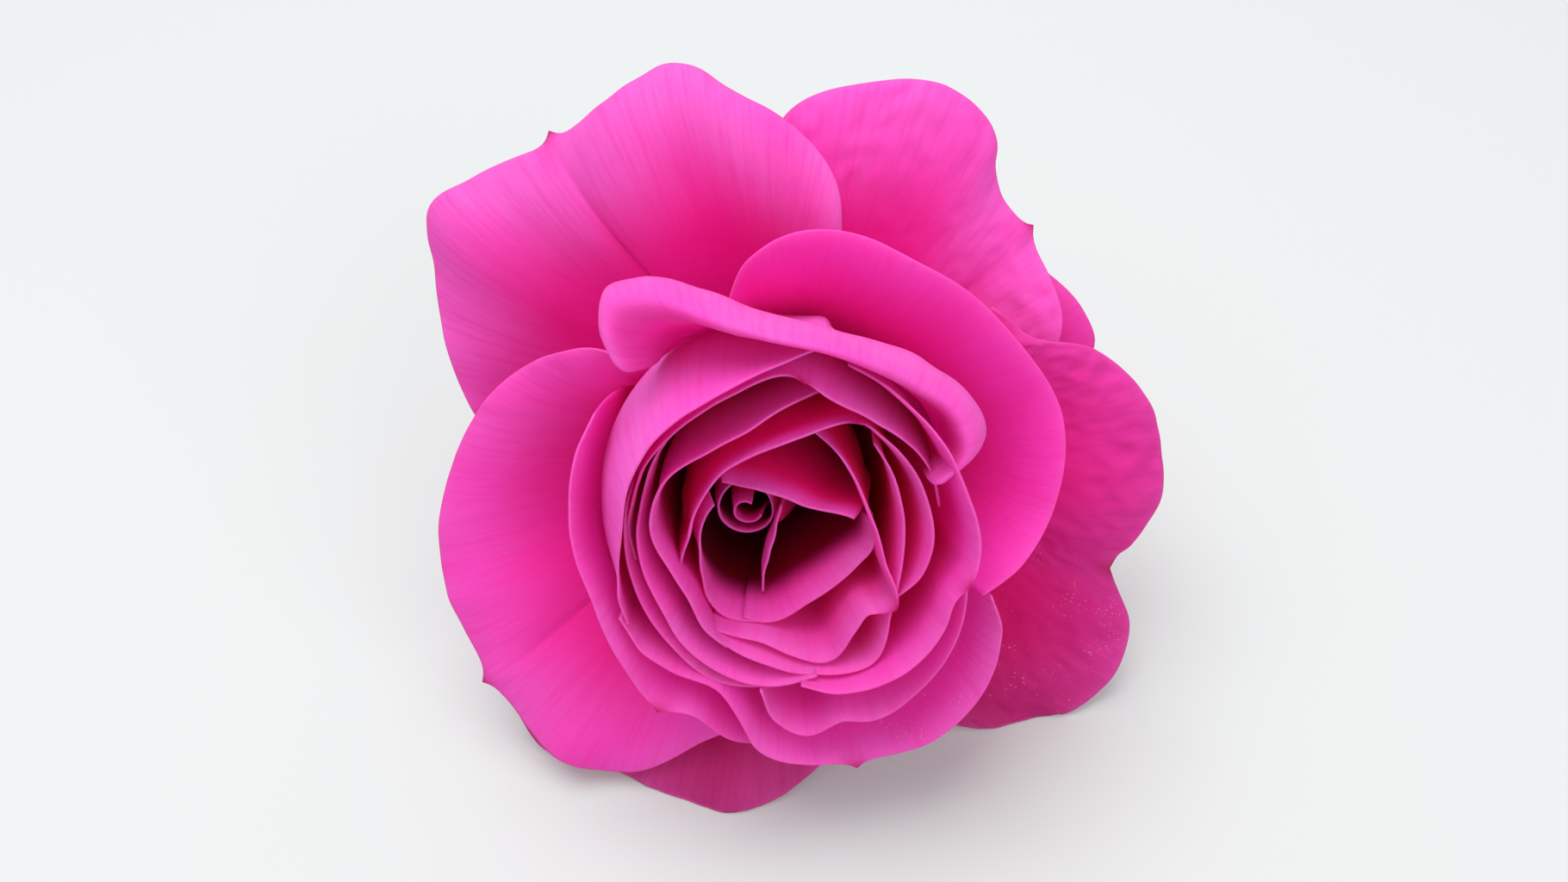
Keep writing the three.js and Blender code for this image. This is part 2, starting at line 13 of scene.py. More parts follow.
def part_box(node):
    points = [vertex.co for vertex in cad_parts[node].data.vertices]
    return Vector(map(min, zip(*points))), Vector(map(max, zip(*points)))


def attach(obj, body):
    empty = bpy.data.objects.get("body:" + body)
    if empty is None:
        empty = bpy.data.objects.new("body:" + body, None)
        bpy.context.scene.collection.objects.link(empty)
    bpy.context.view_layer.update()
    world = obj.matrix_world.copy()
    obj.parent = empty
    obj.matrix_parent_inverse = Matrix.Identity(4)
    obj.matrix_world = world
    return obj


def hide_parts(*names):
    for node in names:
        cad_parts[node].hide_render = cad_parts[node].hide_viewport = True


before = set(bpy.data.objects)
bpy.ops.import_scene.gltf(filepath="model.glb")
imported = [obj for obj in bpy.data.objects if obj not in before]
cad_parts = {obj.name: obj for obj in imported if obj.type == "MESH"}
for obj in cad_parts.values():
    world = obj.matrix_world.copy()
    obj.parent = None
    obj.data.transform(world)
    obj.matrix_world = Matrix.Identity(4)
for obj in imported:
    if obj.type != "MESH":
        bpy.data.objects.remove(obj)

bl_info = {
    "name": "Garden Rose",
    "version": (1, 0, 0),
    "blender": (4, 5, 0),
    "location": "3D View > Sidebar > Rose",
    "description": "Builds a picked garden rose petal by petal, and the table it lies on",
    "category": "Add Mesh",
}

MM = 0.001

# How the flower lies: its own axis goes from the hip to the face, and this turns it in the frame.
LIE = (Matrix.Rotation(math.radians(3.1), 3, "Y")
       @ Matrix.Rotation(math.radians(59.7), 3, "X"))
HEART_LEAN = (-0.17, 0.03)  # how far the heart leans over for each millimetre up

# Outlines as (radius, height) and routes as (x, y, z), in millimetres from the petals' foot.
STYLES_OUTLINE = [(0, 1.8), (0.8, 1.8), (0.7, 6), (1, 7.4), (0.8, 8.4), (0, 8.6)]
STYLES_SIDES = 12
COLLAR_OUTLINE = [(1.4, 1.8), (2.2, 1.8), (2.2, 2.4), (1.4, 2.4), (1.4, 1.8)]
HIP_OUTLINE = [(0.6, 1.4), (2.9, 1.4), (3.4, 1.1), (5.2, -0.2), (6.2, -0.9), (6.5, -1.4),
               (6.0, -2.1), (5.2, -3), (5.3, -4.2), (5.4, -5.5), (5.1, -7.2), (4.4, -9),
               (3.2, -10.9), (2.3, -12.3), (1.95, -13.5), (1.85, -15)]
STEM_ROUTE = [(0, 0, -11), (0, 0, -30), (1, 2.5, -50), (2, 7.5, -63)]
STEM_RADIUS = (1.8, 2.3)
STEM_START = 0.17  # the share of the stem's route that is inside the hip
HIP_RINGS = 56
STEM_RINGS = 60
CUT_END = [(0.93, 0), (0.9, 0.12), (0.45, 0.2), (0.001, 0.2)]  # share of the radius, depth
PRICKLES = [(0.35, 65, 3.2), (0.6, 200, 4.0), (0.85, 330, 4.4)]  # along, round, length
PRICKLE_ROOT = 0.7  # how deep a prickle is set into the stem
PRICKLE_BASE = (2.6, 0.8)  # half its length along the stem and half its width
SEPAL_SPINE = [(6.1, -2.6), (15, -2), (15.5, -13), (19, -23)]
SEPAL_ANGLES = (18, 90, 162, 234, 306)

# The camera looks down on the face from 20 degrees in front of it.
CAMERA_TILT = 20
CAMERA_DISTANCE = 200
CAMERA_AIM = (-0.55, -0.8, 0)
CAMERA_LENS = 35.6

# The lights, in metres from the flower to its right, up its face and out in front of it.
KEY_PLACE = (-0.12, 0.45, 0.42)
FILL_PLACE = (0.35, -0.1, 0.6)
LIGHT_SIZE = 0.5

LOWEST = 0.3 * MM  # petals and stem are pressed flat where they would sink into the table

# A petal against its rim: how much of the rim's turn its foot and its belly have, the share of
# the rim over which its reach changes, and how wide its point is in millimetres.
FOOT_TURN = 0.45
BELLY_TURN = 0.92
REACH_RUN = 0.35
TIP_WIDTH = 1.2

# Where a petal is moved out of the petals inside it: from the first to the second share of its
# rows, below this height, and where it is less than this far in, in millimetres.
CLEARED_ROWS = (0.12, 0.8)
CLEARED_HEIGHT = 30
CLEARED_DEPTH = 4

# The places, from the heart (0) to the outside (1), where the petals' colours change.
HEART_PETALS = 0.25
INNER_PETALS = 0.35
CUP_PETALS = 0.6
OPEN_PETALS = 0.8


def petal(order, belly, rim, reach=(0.36, 0.36), tip=None, ruffle=0.2, crinkle=0.02,
          painted_sheen=0.25, depth=1, blush_and_shade=(0, 0), dust=(0, 0), curl=0.45):
    """One petal. order is its place from the heart (0) to the outside (1), belly the radius and
    height of its fullest part, rim the edge as (angle, radius, height, lean), reach how straight
    it runs up to the rim at its start and further on, tip the angle and length of its point.
    Then its skin: ruffle, crinkle and curl in millimetres, how much painted lilac sheen it has
    towards the rim, how much painted shade deepens it to red towards the foot, and, as (start,
    end) along the rim, how much dark blush, partly its older colour and partly painted shade,
    and pollen dust it has."""
    return {"order": order, "belly": belly, "rim": rim, "reach": reach, "tip": tip,
            "ruffle": ruffle, "crinkle": crinkle, "painted_sheen": painted_sheen, "depth": depth,
            "blush_and_shade": blush_and_shade, "dust": dust, "curl": curl}


# The dark blush on the guard petals is partly their older colour and partly painted shade, darkest on
# guard_bottom and on guard_right's lower lobes.
PETALS = {
    "guard_bottom": petal(1, (16, -1),
        [(-137, 48, 9, 10), (-128, 50, 11, 10), (-113, 45.5, 15, 0), (-103, 45.5, 18, 0),
         (-96, 45, 20, 0), (-88, 43, 19, 0), (-74, 36.5, 15, 10)],
        ruffle=0.5, crinkle=0.05, blush_and_shade=(0.9, 1)),
    "guard_right_small": petal(1, (16, -1),
        [(49, 38, 6, 0), (40, 38.5, 6, 0), (26, 41, 6, -10), (20, 41, 6, -10), (13, 36, 6, 10)],
        ruffle=0.4, crinkle=0.1, blush_and_shade=(0.35, 0.35)),
    "guard_top_right": petal(0.97, (16, 1),
        [(92, 35.5, 12, 10), (88, 42, 13, -10), (77, 47, 13, -25), (65, 49.5, 12, -25),
         (59, 48, 11, -25), (50, 42, 10, -20), (43, 40.5, 10, -15), (36, 40, 12, 0),
         (29, 39, 13, 10), (23, 36.5, 13, 20)], tip=(44, 1.4), ruffle=0.7, crinkle=0.3, painted_sheen=0.75),
    "guard_top_left": petal(0.94, (17, 2),
        [(175, 35.5, 9, 30), (166, 39, 10, 15), (151, 45.5, 11, -10), (142, 50.5, 12, -30),
         (132, 48.5, 13, -30), (121, 46, 15, -35), (111, 47.5, 17, -35), (101, 49, 17, -35),
         (93, 45.5, 18, -30), (85, 42, 19, -15), (76, 36, 20, 0), (72, 27.5, 19, 20)],
        tip=(121, 1.8), ruffle=0.8, crinkle=0.06, painted_sheen=1.0, blush_and_shade=(0.3, 0)),
    "guard_right": petal(0.9, (18, 2),
        [(39, 33.5, 17, 30), (30, 35, 17, 0), (22, 41, 14, -20), (8, 46.5, 12, -30),
         (-3, 48, 12, -30), (-14, 46, 11, -20), (-20, 45.7, 8, -20), (-27, 51, 9.5, -5),
         (-35, 53, 9.5, -5), (-46, 50.8, 10, -5), (-61, 40, 12, 10)],
        tip=(-20, -0.6), ruffle=0.8, crinkle=0.42, painted_sheen=0.15, blush_and_shade=(0.25, 1),
        dust=(-1.5, 2)),
    "guard_left": petal(0.86, (20, 3),
        [(131, 21, 22, 55), (138, 25.5, 22, 15), (153, 31, 19, -15), (176, 37, 16, -20),
         (-165, 41.5, 15, -15), (-149, 43.5, 15, -15), (-138, 45, 15, -10), (-124, 46.5, 16.5, -5),
         (-114, 44, 17, 0), (-102, 34.5, 20, 15), (-93, 30.5, 21, 30)],
        tip=(-142, 1.6), ruffle=0.6, crinkle=0.05, painted_sheen=0.5),
    "second_right": petal(0.8, (22, 4),
        [(95, 24, 26, 60), (88, 29, 28, 35), (78, 32.5, 28, 20), (55, 34, 28, 15),
         (34, 35, 26, 15), (14, 36, 25, 20), (-3, 34, 25, 28), (-14, 31, 28, 40),
         (-19, 28.5, 30, 50)], ruffle=0.35, painted_sheen=0.1),
    "cup_top_lip": petal(0.74, (24, 8),
        [(121, 24, 35.5, -45), (120, 27.5, 35, -55), (116, 30.5, 34, -62), (108, 30.3, 34, -68),
         (96, 27.5, 34, -74), (80, 25.3, 35, -80), (62, 26, 35, -80), (45, 28, 34, -75),
         (31, 29.5, 33, -72), (23, 29, 33, -68), (18, 25.5, 33.5, -60)],
        reach=(0.2, 0.5), ruffle=0.3, painted_sheen=0.9, depth=0),
    "cup_left": petal(0.7, (20.5, 6),
        [(140, 20, 32, 85), (150, 19, 33, 80), (178, 17.5, 34, 78), (-152, 17.5, 34, 75),
         (-130, 20.5, 33, 68), (-112, 24.5, 31, 60), (-105, 24.5, 31, 60), (-92, 29, 28, 60),
         (-84, 30.5, 26, 65)], tip=(-113, 0.9)),
    "cup_bottom": petal(0.66, (21, 6),
        [(-141, 17, 33, 85), (-115, 18.5, 33, 75), (-96, 20, 33, 67), (-90, 23, 32.5, 62),
         (-84, 30, 30.5, 52), (-78, 32.5, 29, 50), (-68, 34, 28, 45), (-52, 36.5, 28, 40),
         (-40, 35.5, 28, 40), (-29, 33, 28, 42), (-19, 29.5, 29.5, 55)],
        tip=(-68, 1), ruffle=0.4, painted_sheen=0.3, dust=(0, 1.2)),
    "cup_bottom_inner": petal(0.62, (19.5, 6.5),
        [(-7, 25, 34, 80), (-26, 27, 34, 70), (-46, 28.5, 32, 62), (-58, 28.3, 32, 58),
         (-64, 26.8, 32, 58), (-75, 27.5, 31, 58), (-80, 25, 31.5, 62), (-83, 20, 33, 78)]),
    "cup_right": petal(0.58, (19, 7),
        [(58, 23, 36, 90), (40, 24, 38, 85), (13, 25.3, 38, 80), (-9, 26, 37, 75),
         (-16, 24.8, 36.7, 75), (-26, 25, 36, 72), (-44, 24.5, 35, 72), (-61, 22, 34, 80),
         (-69, 20, 34, 85)], tip=(-11, 0.8)),
    "cup_left_hood": petal(0.54, (18, 7),
        [(63, 25, 38, 85), (75, 20.4, 38.5, 98), (92, 16.8, 39, 112), (113, 14.4, 39, 120),
         (145, 12, 38.5, 120), (171, 11, 38, 118), (-160, 12.6, 36, 110), (-137, 16.5, 33.5, 92)],
        reach=(0.45, 0.45)),
    "inner_top": petal(0.5, (17.5, 7.5),
        [(-162, 11.7, 33, 92), (165, 11, 34, 95), (137, 12, 35, 98), (115, 13.2, 36, 102),
         (87, 16.4, 37, 106), (69, 19.6, 37, 108), (58, 18.9, 37, 110), (42, 19.6, 36, 110),
         (26, 21.2, 35, 103), (7, 22, 33, 95)], tip=(68, 0.5)),
    "inner_left_outer": petal(0.44, (16.5, 8),
        [(154, 12.4, 33, 88), (180, 11.6, 34, 85), (-150, 12.4, 34, 80), (-119, 15.2, 33.5, 75),
         (-98, 18.7, 32.5, 70), (-83, 20, 32, 72)]),
    "inner_left_mid": petal(0.41, (16, 8),
        [(122, 13, 34, 90), (149, 10.5, 34.5, 88), (-170, 10, 35, 85), (-133, 11.3, 35, 80),
         (-107, 15.3, 34, 75), (-85, 18.8, 33, 70), (-64, 20, 33, 80)]),
    "inner_left": petal(0.35, (15, 8.5),
        [(61, 18, 33, 100), (71, 14.4, 35, 100), (83, 11.7, 36, 98), (102, 9.8, 36, 97),
         (140, 9.2, 36, 92), (167, 8.4, 36, 90), (-151, 7.4, 35.5, 90), (-126, 8.4, 35, 90),
         (-104, 12.3, 34, 88), (-95, 14.4, 33, 88)]),
    "inner_bottom_outer": petal(0.32, (14, 9),
        [(34, 17.7, 33, 90), (10, 17.7, 34, 86), (-13, 18.1, 34, 83), (-31, 19.2, 33.5, 78),
         (-49, 22, 32.5, 73), (-66, 19.4, 32.5, 72), (-80, 16.2, 33, 75), (-103, 13, 33, 80)]),
    "inner_bottom": petal(0.28, (13, 9.5),
        [(56, 13, 30, 100), (37, 13.2, 32, 95), (10, 14.1, 34, 90), (-13, 16.2, 34, 82),
         (-27, 19.2, 34, 72), (-35, 17.3, 33.5, 65), (-45, 17.7, 33, 62), (-60, 19, 32, 62),
         (-69, 16.8, 32, 64), (-80, 14.2, 32, 69), (-105, 12.8, 32, 80)], tip=(-27, 0.8)),
    "inner_top_hood": petal(0.335, (14, 9.5),
        [(-144, 8, 32, 95), (-171, 4.8, 33, 97), (139, 4.6, 33.5, 100), (94, 7.1, 34.5, 105),
         (73, 9.6, 35, 106), (57, 13, 35, 106), (50, 15.6, 34.7, 104), (44, 18.2, 35.3, 95),
         (35, 18.9, 35, 86), (16, 20.3, 35, 80), (-5, 21, 35, 78), (-27, 19, 33, 88)], tip=(44, 0.5)),
    "heart_left": petal(0.2, (10, 10.5),
        [(144, 3.6, 31, 110), (180, 4, 31, 112), (-150, 4.8, 31, 112), (-123, 7.5, 30.5, 100),
         (-110, 10.3, 30, 80), (-98, 12, 30, 65), (-83, 12.7, 30, 62)]),
    "heart_bottom": petal(0.17, (9.5, 11),
        [(1, 14.5, 32, 76), (-7, 14.8, 31.8, 70), (-22, 13.6, 31, 58), (-53, 12.2, 30.5, 55),
         (-81, 12.7, 30, 58), (-90, 12, 30, 65)]),
    "heart_top_hood": petal(0.14, (9, 11.5),
        [(117, 5, 30, 110), (91, 4, 30.5, 115), (61, 4.1, 31, 120), (21, 6.4, 31.5, 122),
         (4, 12.6, 32, 113)]),
    "heart_edge": petal(0.11, (6, 12),
        [(14, 4, 28, 95), (-17, 3.4, 28, 92), (-56, 4.4, 28, 90), (-75, 6.7, 27.5, 88),
         (-81, 10.3, 27, 85)]),
    "bud_outer": petal(0.07, (5, 11),
        [(120, 3.4, 26, 100), (180, 3.2, 26, 105), (-120, 3, 25.5, 110), (-60, 2.6, 25.5, 110),
         (0, 2.4, 26, 105), (50, 2.6, 26, 100)]),
    "bud_inner": petal(0.03, (4.2, 11),
        [(-30, 1.6, 26.5, 95), (-100, 1.7, 26, 100), (-170, 1.4, 26.5, 100), (120, 1.1, 27, 95),
         (60, 0.8, 27, 92)]),
}


# ---------------------------------------------------------------- places and curves


def bezier(points, share):
    """A cubic Bezier curve through plain numbers or arrays, at share 0 to 1 of its run."""
    a, b, c, d = points
    rest = 1 - share
    return (rest ** 3 * a + 3 * rest ** 2 * share * b
            + 3 * rest * share ** 2 * c + share ** 3 * d)


def spline(points, distances, count):
    """count rows spread evenly along a smooth curve through the rows of points."""
    slopes = np.diff(points, axis=0) / distances[:, None]
    before, after = distances[:-1, None], distances[1:, None]
    tangents = np.vstack([slopes[:1],
                          (slopes[:-1] * after + slopes[1:] * before) / (before + after),
                          slopes[-1:]])
    marks = np.concatenate([[0], np.cumsum(distances)])
    rows = []
    for mark in np.linspace(0, marks[-1], count):
        i = min(max(int(np.searchsorted(marks, mark, side="right")) - 1, 0), len(points) - 2)
        step = distances[i]
        t = (mark - marks[i]) / step
        rows.append((2 * t ** 3 - 3 * t ** 2 + 1) * points[i]
                    + (t ** 3 - 2 * t ** 2 + t) * step * tangents[i]
                    + (3 * t ** 2 - 2 * t ** 3) * points[i + 1]
                    + (t ** 3 - t ** 2) * step * tangents[i + 1])
    return np.array(rows)


def round_heart(angles, radii, heights):
    """Points at these angles (radians), radii and heights round the leaning heart."""
    angles, radii, heights = np.broadcast_arrays(angles, radii, heights)
    return np.stack([HEART_LEAN[0] * heights + radii * np.cos(angles),
                     HEART_LEAN[1] * heights + radii * np.sin(angles), heights], -1)


def flower_home():
    """Where the petals' foot is in the frame, found from the styles, which are round."""
    points = [LIE @ Vector((r * math.cos(turn), r * math.sin(turn), z)) * MM
              for r, z in STYLES_OUTLINE
              for turn in (2 * math.pi * k / STYLES_SIDES for k in range(STYLES_SIDES))]
    lowest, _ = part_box("styles")
    return Vector([lowest[axis] - min(p[axis] for p in points) for axis in range(3)])


HOME = flower_home()


def in_frame(points):
    """Points in millimetres from the petals' foot, put into the frame, in metres."""
    return np.asarray(points) @ np.array(LIE).T * MM + np.array(HOME)


def smooth_step(low, high, value):
    t = np.clip((value - low) / (high - low), 0, 1)
    return t * t * (3 - 2 * t)


def waves(across, along, seed):
    """Soft noise over a grid of places, from -1 to 1."""
    across, along = np.broadcast_arrays(across, along)
    flat = [noise.noise(Vector((a, b, seed))) for a, b in zip(across.ravel(), along.ravel())]
    return np.array(flat).reshape(across.shape)


def skin_normals(places):
    """The way out of the flower at each place of a grid."""
    normals = np.cross(np.gradient(places, axis=1), np.gradient(places, axis=0))
    normals /= np.maximum(np.linalg.norm(normals, axis=-1, keepdims=True), 1e-9)
    middle = np.zeros_like(places)
    middle[..., 0] = HEART_LEAN[0] * places[..., 2]
    middle[..., 1] = HEART_LEAN[1] * places[..., 2]
    low = slice(0, places.shape[0] // 2)
    outward = ((places - middle)[low, :, :2] * normals[low, :, :2]).sum()
    return normals if outward > 0 else -normals


# ---------------------------------------------------------------- meshes


def grid_mesh(places, paint=None, closed=False, width=1.0):
    """A bmesh grid whose vertices are moved to places[row][column], in the frame. paint gives
    each vertex its values by name, and width is how far the UV map runs across."""
    rows, columns = places.shape[:2]
    bm = bmesh.new()
    bmesh.ops.create_grid(bm, x_segments=columns - 1, y_segments=rows - 1, size=0.5)
    uv = bm.loops.layers.uv.new("UVMap")
    layers = {name: bm.verts.layers.float.new(name) for name in paint or {}}
    spots = {}
    for vert in bm.verts:
        column = round((vert.co.x + 0.5) * (columns - 1))
        row = round((vert.co.y + 0.5) * (rows - 1))
        spots[vert] = (row, column)
    for face in bm.faces:
        for loop in face.loops:
            row, column = spots[loop.vert]
            loop[uv].uv = (width * column / (columns - 1), row / (rows - 1))
    for vert, (row, column) in spots.items():
        vert.co = places[row, column]
        vert.co.z = max(vert.co.z, LOWEST)
        for name, layer in layers.items():
            vert[layer] = float(paint[name][row, column])
    if closed:
        bmesh.ops.remove_doubles(bm, verts=bm.verts, dist=1e-7)
        bmesh.ops.recalc_face_normals(bm, faces=bm.faces)
    return bm


def join(bm, other):
    """Adds another bmesh to bm and frees it."""
    spare = bpy.data.meshes.new("spare")
    other.to_mesh(spare)
    other.free()
    bm.from_mesh(spare)
    bpy.data.meshes.remove(spare)


def finished(bm, name, material, nodes):
    """Turns a bmesh into a smooth piece that rides on the rose and stands for CAD nodes."""
    mesh = bpy.data.meshes.new(name)
    for face in bm.faces:
        face.smooth = True
    bm.to_mesh(mesh)
    bm.free()
    mesh.materials.append(material)
    piece = bpy.data.objects.new(name, mesh)
    bpy.context.scene.collection.objects.link(piece)
    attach(piece, "root")
    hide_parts(*nodes)
    return piece


def petal_places(facts, columns, rows):
    """The petal's surface as a grid: from its foot, out through its belly, up to its rim."""
    rim = np.array(facts["rim"], float)
    rim[:, 0] = np.degrees(np.unwrap(np.radians(rim[:, 0])))
    corners = round_heart(np.radians(rim[:, 0]), rim[:, 1], rim[:, 2])
    edge = spline(rim, np.linalg.norm(np.diff(corners, axis=0), axis=1), columns)
    angles, leans = np.radians(edge[:, 0]), np.radians(edge[:, 3])
    top = round_heart(angles, edge[:, 1], edge[:, 2])
    middle = angles.mean()
    order = facts["order"]
    foot = round_heart(middle + (angles - middle) * FOOT_TURN, 3 + 3 * order, 2 - 2.5 * order)
    belly = round_heart(middle + (angles - middle) * BELLY_TURN, *facts["belly"])
    out = np.stack([np.cos(leans) * np.cos(angles), np.cos(leans) * np.sin(angles),
                    np.sin(leans)], -1)
    start, end = facts["reach"]
    reach = np.interp(np.linspace(0, 1, columns), (0, REACH_RUN), (start, end))
    reach = reach * np.linalg.norm(top - foot, axis=1)
    if facts["tip"]:
        angle, length = facts["tip"]
        away = np.abs(np.angle(np.exp(1j * (angles - math.radians(angle)))))
        distance = np.linalg.norm(top - top[np.argmin(away)], axis=1)
        top = top + out * (length * np.exp(-distance / TIP_WIDTH))[:, None]
    rise = np.linspace(0, 1, rows)[:, None, None]
    rise = 1 - (1 - rise) ** 1.3  # closer rows towards the rim, where it curls
    return bezier((foot, belly, top - out * reach[:, None], top), rise)


def keep_outside(places, inner, room):
    """Moves the parts of a petal that would run through the petals inside it out of them."""
    rows = places.shape[0]
    push = np.zeros(places.shape[:2])
    for row in range(int(rows * CLEARED_ROWS[0]), int(rows * CLEARED_ROWS[1])):
        for column in range(places.shape[1]):
            place = Vector(places[row, column])
            out = Vector((place.x - HEART_LEAN[0] * place.z, place.y - HEART_LEAN[1] * place.z, 0))
            if out.length < 1 or place.z > CLEARED_HEIGHT:
                continue
            out.normalize()
            start = place - out * room
            for tree in inner:
                hit = tree.ray_cast(start, out, CLEARED_DEPTH + room)
                if hit[0] is not None:
                    push[row, column] = max(push[row, column], hit[3] + room)
    push[0] = 0
    for _ in range(4):
        spread = np.pad(push, 1, mode="edge")
        near = (spread[:-2, 1:-1] + spread[2:, 1:-1] + spread[1:-1, :-2] + spread[1:-1, 2:]) / 4
        push = np.maximum(push * 0.9, near * 0.6 + push * 0.4)
    out = places - round_heart(0, 0, places[..., 2])
    out[..., 2] = 0
    out /= np.maximum(np.linalg.norm(out, axis=-1, keepdims=True), 1e-6)
    return places + out * push[..., None]


def beside_tip(places, across, facts):
    """How far each column of a petal is from its pointed tip, along the rim."""
    rim = places[-1] - round_heart(0, 0, places[-1, :, 2])
    angles = np.arctan2(rim[:, 1], rim[:, 0]) - math.radians(facts["tip"][0])
    return across - across[0, np.argmin(np.abs(np.angle(np.exp(1j * angles))))]


def petal_skin(places, facts, seed):
    """Adds the rim's curl and ruffles, the crinkles and the crease to a petal's surface."""
    steps = np.linalg.norm(np.diff(places, axis=0), axis=-1)
    below = np.vstack([np.cumsum(steps[::-1], axis=0)[::-1], np.zeros((1, places.shape[1]))])
    run = np.linalg.norm(np.diff(places[-1], axis=0), axis=-1)
    across = np.concatenate([[0], np.cumsum(run)])[None, :]
    ends = smooth_step(0, 5, np.minimum(across, across.max() - across))
    size = min(1.0, across.max() / 60)
    lift = facts["curl"] * np.exp(-below / 1.3)
    ruffle = facts["ruffle"] * size
    lift = lift + 1.6 * ruffle * waves(across / 9, below / 14, seed) * np.exp(-below / 7)
    lift = lift + 0.5 * ruffle * waves(across / 3.2, below / 9, seed + 5) * np.exp(-below / 2.2)
    lift = lift + 0.35 * size * waves(across / 16, below / 16, seed + 9) * smooth_step(0, 12, below)
    wrinkle = 2 * np.abs(waves(across / 2.4, below / 3.6, seed + 13)) - 0.5
    crinkle = 1.6 * facts["crinkle"] * smooth_step(0, 1.5, below) * np.exp(-below / 22)
    lift = lift + crinkle * wrinkle
    if facts["tip"]:
        length = facts["tip"][1]
        beside = beside_tip(places, across, facts)
        fold = np.exp(-(beside / (0.9 + 0.1 * below)) ** 2) * np.exp(-below / 11)
        lift = lift - 0.25 * min(1, abs(length)) * fold * smooth_step(0, 1.5, below)
    lift = lift * ends * smooth_step(0, 6, np.linalg.norm(places - places[:1], axis=-1))
    return places + skin_normals(places) * lift[..., None], below, across


def petal_paint(facts, places, below, across):
    """What a petal's skin is painted with: by name, a value for each place of its grid, from how
    far that place is below the rim and how far it is along it."""
    order = facts["order"]
    patchy = 0.8 + 0.5 * waves(across / 12, below / 12, order)
    # A thin painted highlight along the rim.
    rim_highlight = min(0.25, 3 * order) * np.exp(-below / 0.4)
    # Painted sheen: the petal turns lilac towards the rim, where it catches the light.
    painted_sheen = facts["painted_sheen"] * (1 - smooth_step(3, 22, below))
    if order < OPEN_PETALS:
        painted_sheen = painted_sheen * min(1, 4 * order)
        painted_sheen = painted_sheen + min(0.65, 0.15 + 4 * order) * (1 - smooth_step(0.3, 5, below))
    else:
        painted_sheen = painted_sheen + 0.25 * np.exp(-below / 2.5)
    painted_sheen = np.clip(painted_sheen * patchy, 0, 1)
    # The outside gets painted lilac sheen too; the heart petals also get painted shade lower down, deep
    # in the bud.
    if order < INNER_PETALS:
        outer_painted_sheen = 0.8 * np.exp(-below / 1.8)
        outer_deep_shade = 0.9 * smooth_step(0.8, 4, below)
    else:
        outer_painted_sheen = 0.72 * patchy + 0.2 * np.exp(-below / 3) - 0.25 * max(facts["blush_and_shade"])
        outer_painted_sheen = np.clip(outer_painted_sheen, 0, 1)
        outer_deep_shade = 0 * below
    # Painted shade: the petal turns deep red further down in the cup, towards its foot.
    deep_shade = facts["depth"] * (0.95 if order < CUP_PETALS else 1.25 - 0.9 * order)
    deep_shade = deep_shade * smooth_step(min(2.5, 12 * order), min(11, 3 + 60 * order) + 12 * order, below)
    # Painted shade: nearly black lower down in the heart's hollows, and darker low on the other petals.
    if order < HEART_PETALS:
        dark = smooth_step(1.8, 6.5, below)
    else:
        dark = 0.85 * smooth_step(12, 30, below) * (1 - order)
    share = across / across.max() + 0 * below
    # Dark blush along the rim: partly the older petals' own darker colour, partly painted shade on the
    # low guard petals.
    blush_and_shade = np.interp(share, (0, 1), facts["blush_and_shade"])
    dust = np.interp(share, (0, 1), facts["dust"]).clip(0, 1)
    # Darker, and without the lilac or the rim line, at the pointed tip.
    if facts["tip"]:
        point = np.exp(-(beside_tip(places, across, facts) / 1.5) ** 2 - below / 1.2)
        blush_and_shade = np.clip(blush_and_shade + point, 0, 1)
        painted_sheen, outer_painted_sheen = painted_sheen * (1 - point), outer_painted_sheen * (1 - point)
        rim_highlight = rim_highlight * (1 - point)
    thick = np.linspace(1, 0, places.shape[0])[:, None] + 0 * below
    return {"rim": rim_highlight, "painted_sheen": painted_sheen, "blush_and_shade": np.clip(blush_and_shade, 0, 1), "dust": dust,
            "deep_shade": deep_shade, "dark": dark, "outer_painted_sheen": outer_painted_sheen, "outer_deep_shade": outer_deep_shade,
            "thick": thick}


def stem_radius(share):
    """The stem's radius at a share of its run, in millimetres."""
    return STEM_RADIUS[0] + (STEM_RADIUS[1] - STEM_RADIUS[0]) * share


def turned(radii, heights, turns):
    """A grid round the flower's axis: a row for each radius and height, a column for each turn."""
    return np.stack([radii * np.cos(turns), radii * np.sin(turns), heights + 0 * turns], -1)


# ---------------------------------------------------------------- materials

HOT_PINK = (0.93, 0.058, 0.62, 1)
WARM_PINK = (0.91, 0.038, 0.52, 1)
# Painted sheen: the lilac that the petals show where they catch the light.
LILAC_SHEEN = (0.84, 0.19, 0.72, 1)
# Partly the older petals' own darker magenta, partly painted shade.
DARK_BLUSH_AND_SHADE = (0.45, 0.004, 0.10, 1)
VEIN_RED = (0.62, 0.006, 0.15, 1)
# Painted shade deeper in the cup.
DEEP_SHADE_RED = (0.94, 0.003, 0.13, 1)
# Painted shade in the heart's hollows.
HOLLOW_SHADE_RED = (0.05, 0.0002, 0.001, 1)
# Painted highlight along the rims.
RIM_HIGHLIGHT_PINK = (0.92, 0.22, 0.60, 1)
GLOW_PINK = (1.0, 0.08, 0.54, 1)
SHEEN_PINK = (1.0, 0.4, 0.85, 1)
POLLEN = (0.95, 0.62, 0.55, 1)


def new_material(name):
    """A new material, its node tree and its Principled BSDF."""
    material = bpy.data.materials.new(name)
    material.use_nodes = True
    tree = material.node_tree
    return material, tree, tree.nodes["Principled BSDF"]


def add_node(tree, kind, label, **inputs):
    node = tree.nodes.new(kind)
    node.label = label
    for socket, value in inputs.items():
        node.inputs[socket.replace("_", " ")].default_value = value
    return node


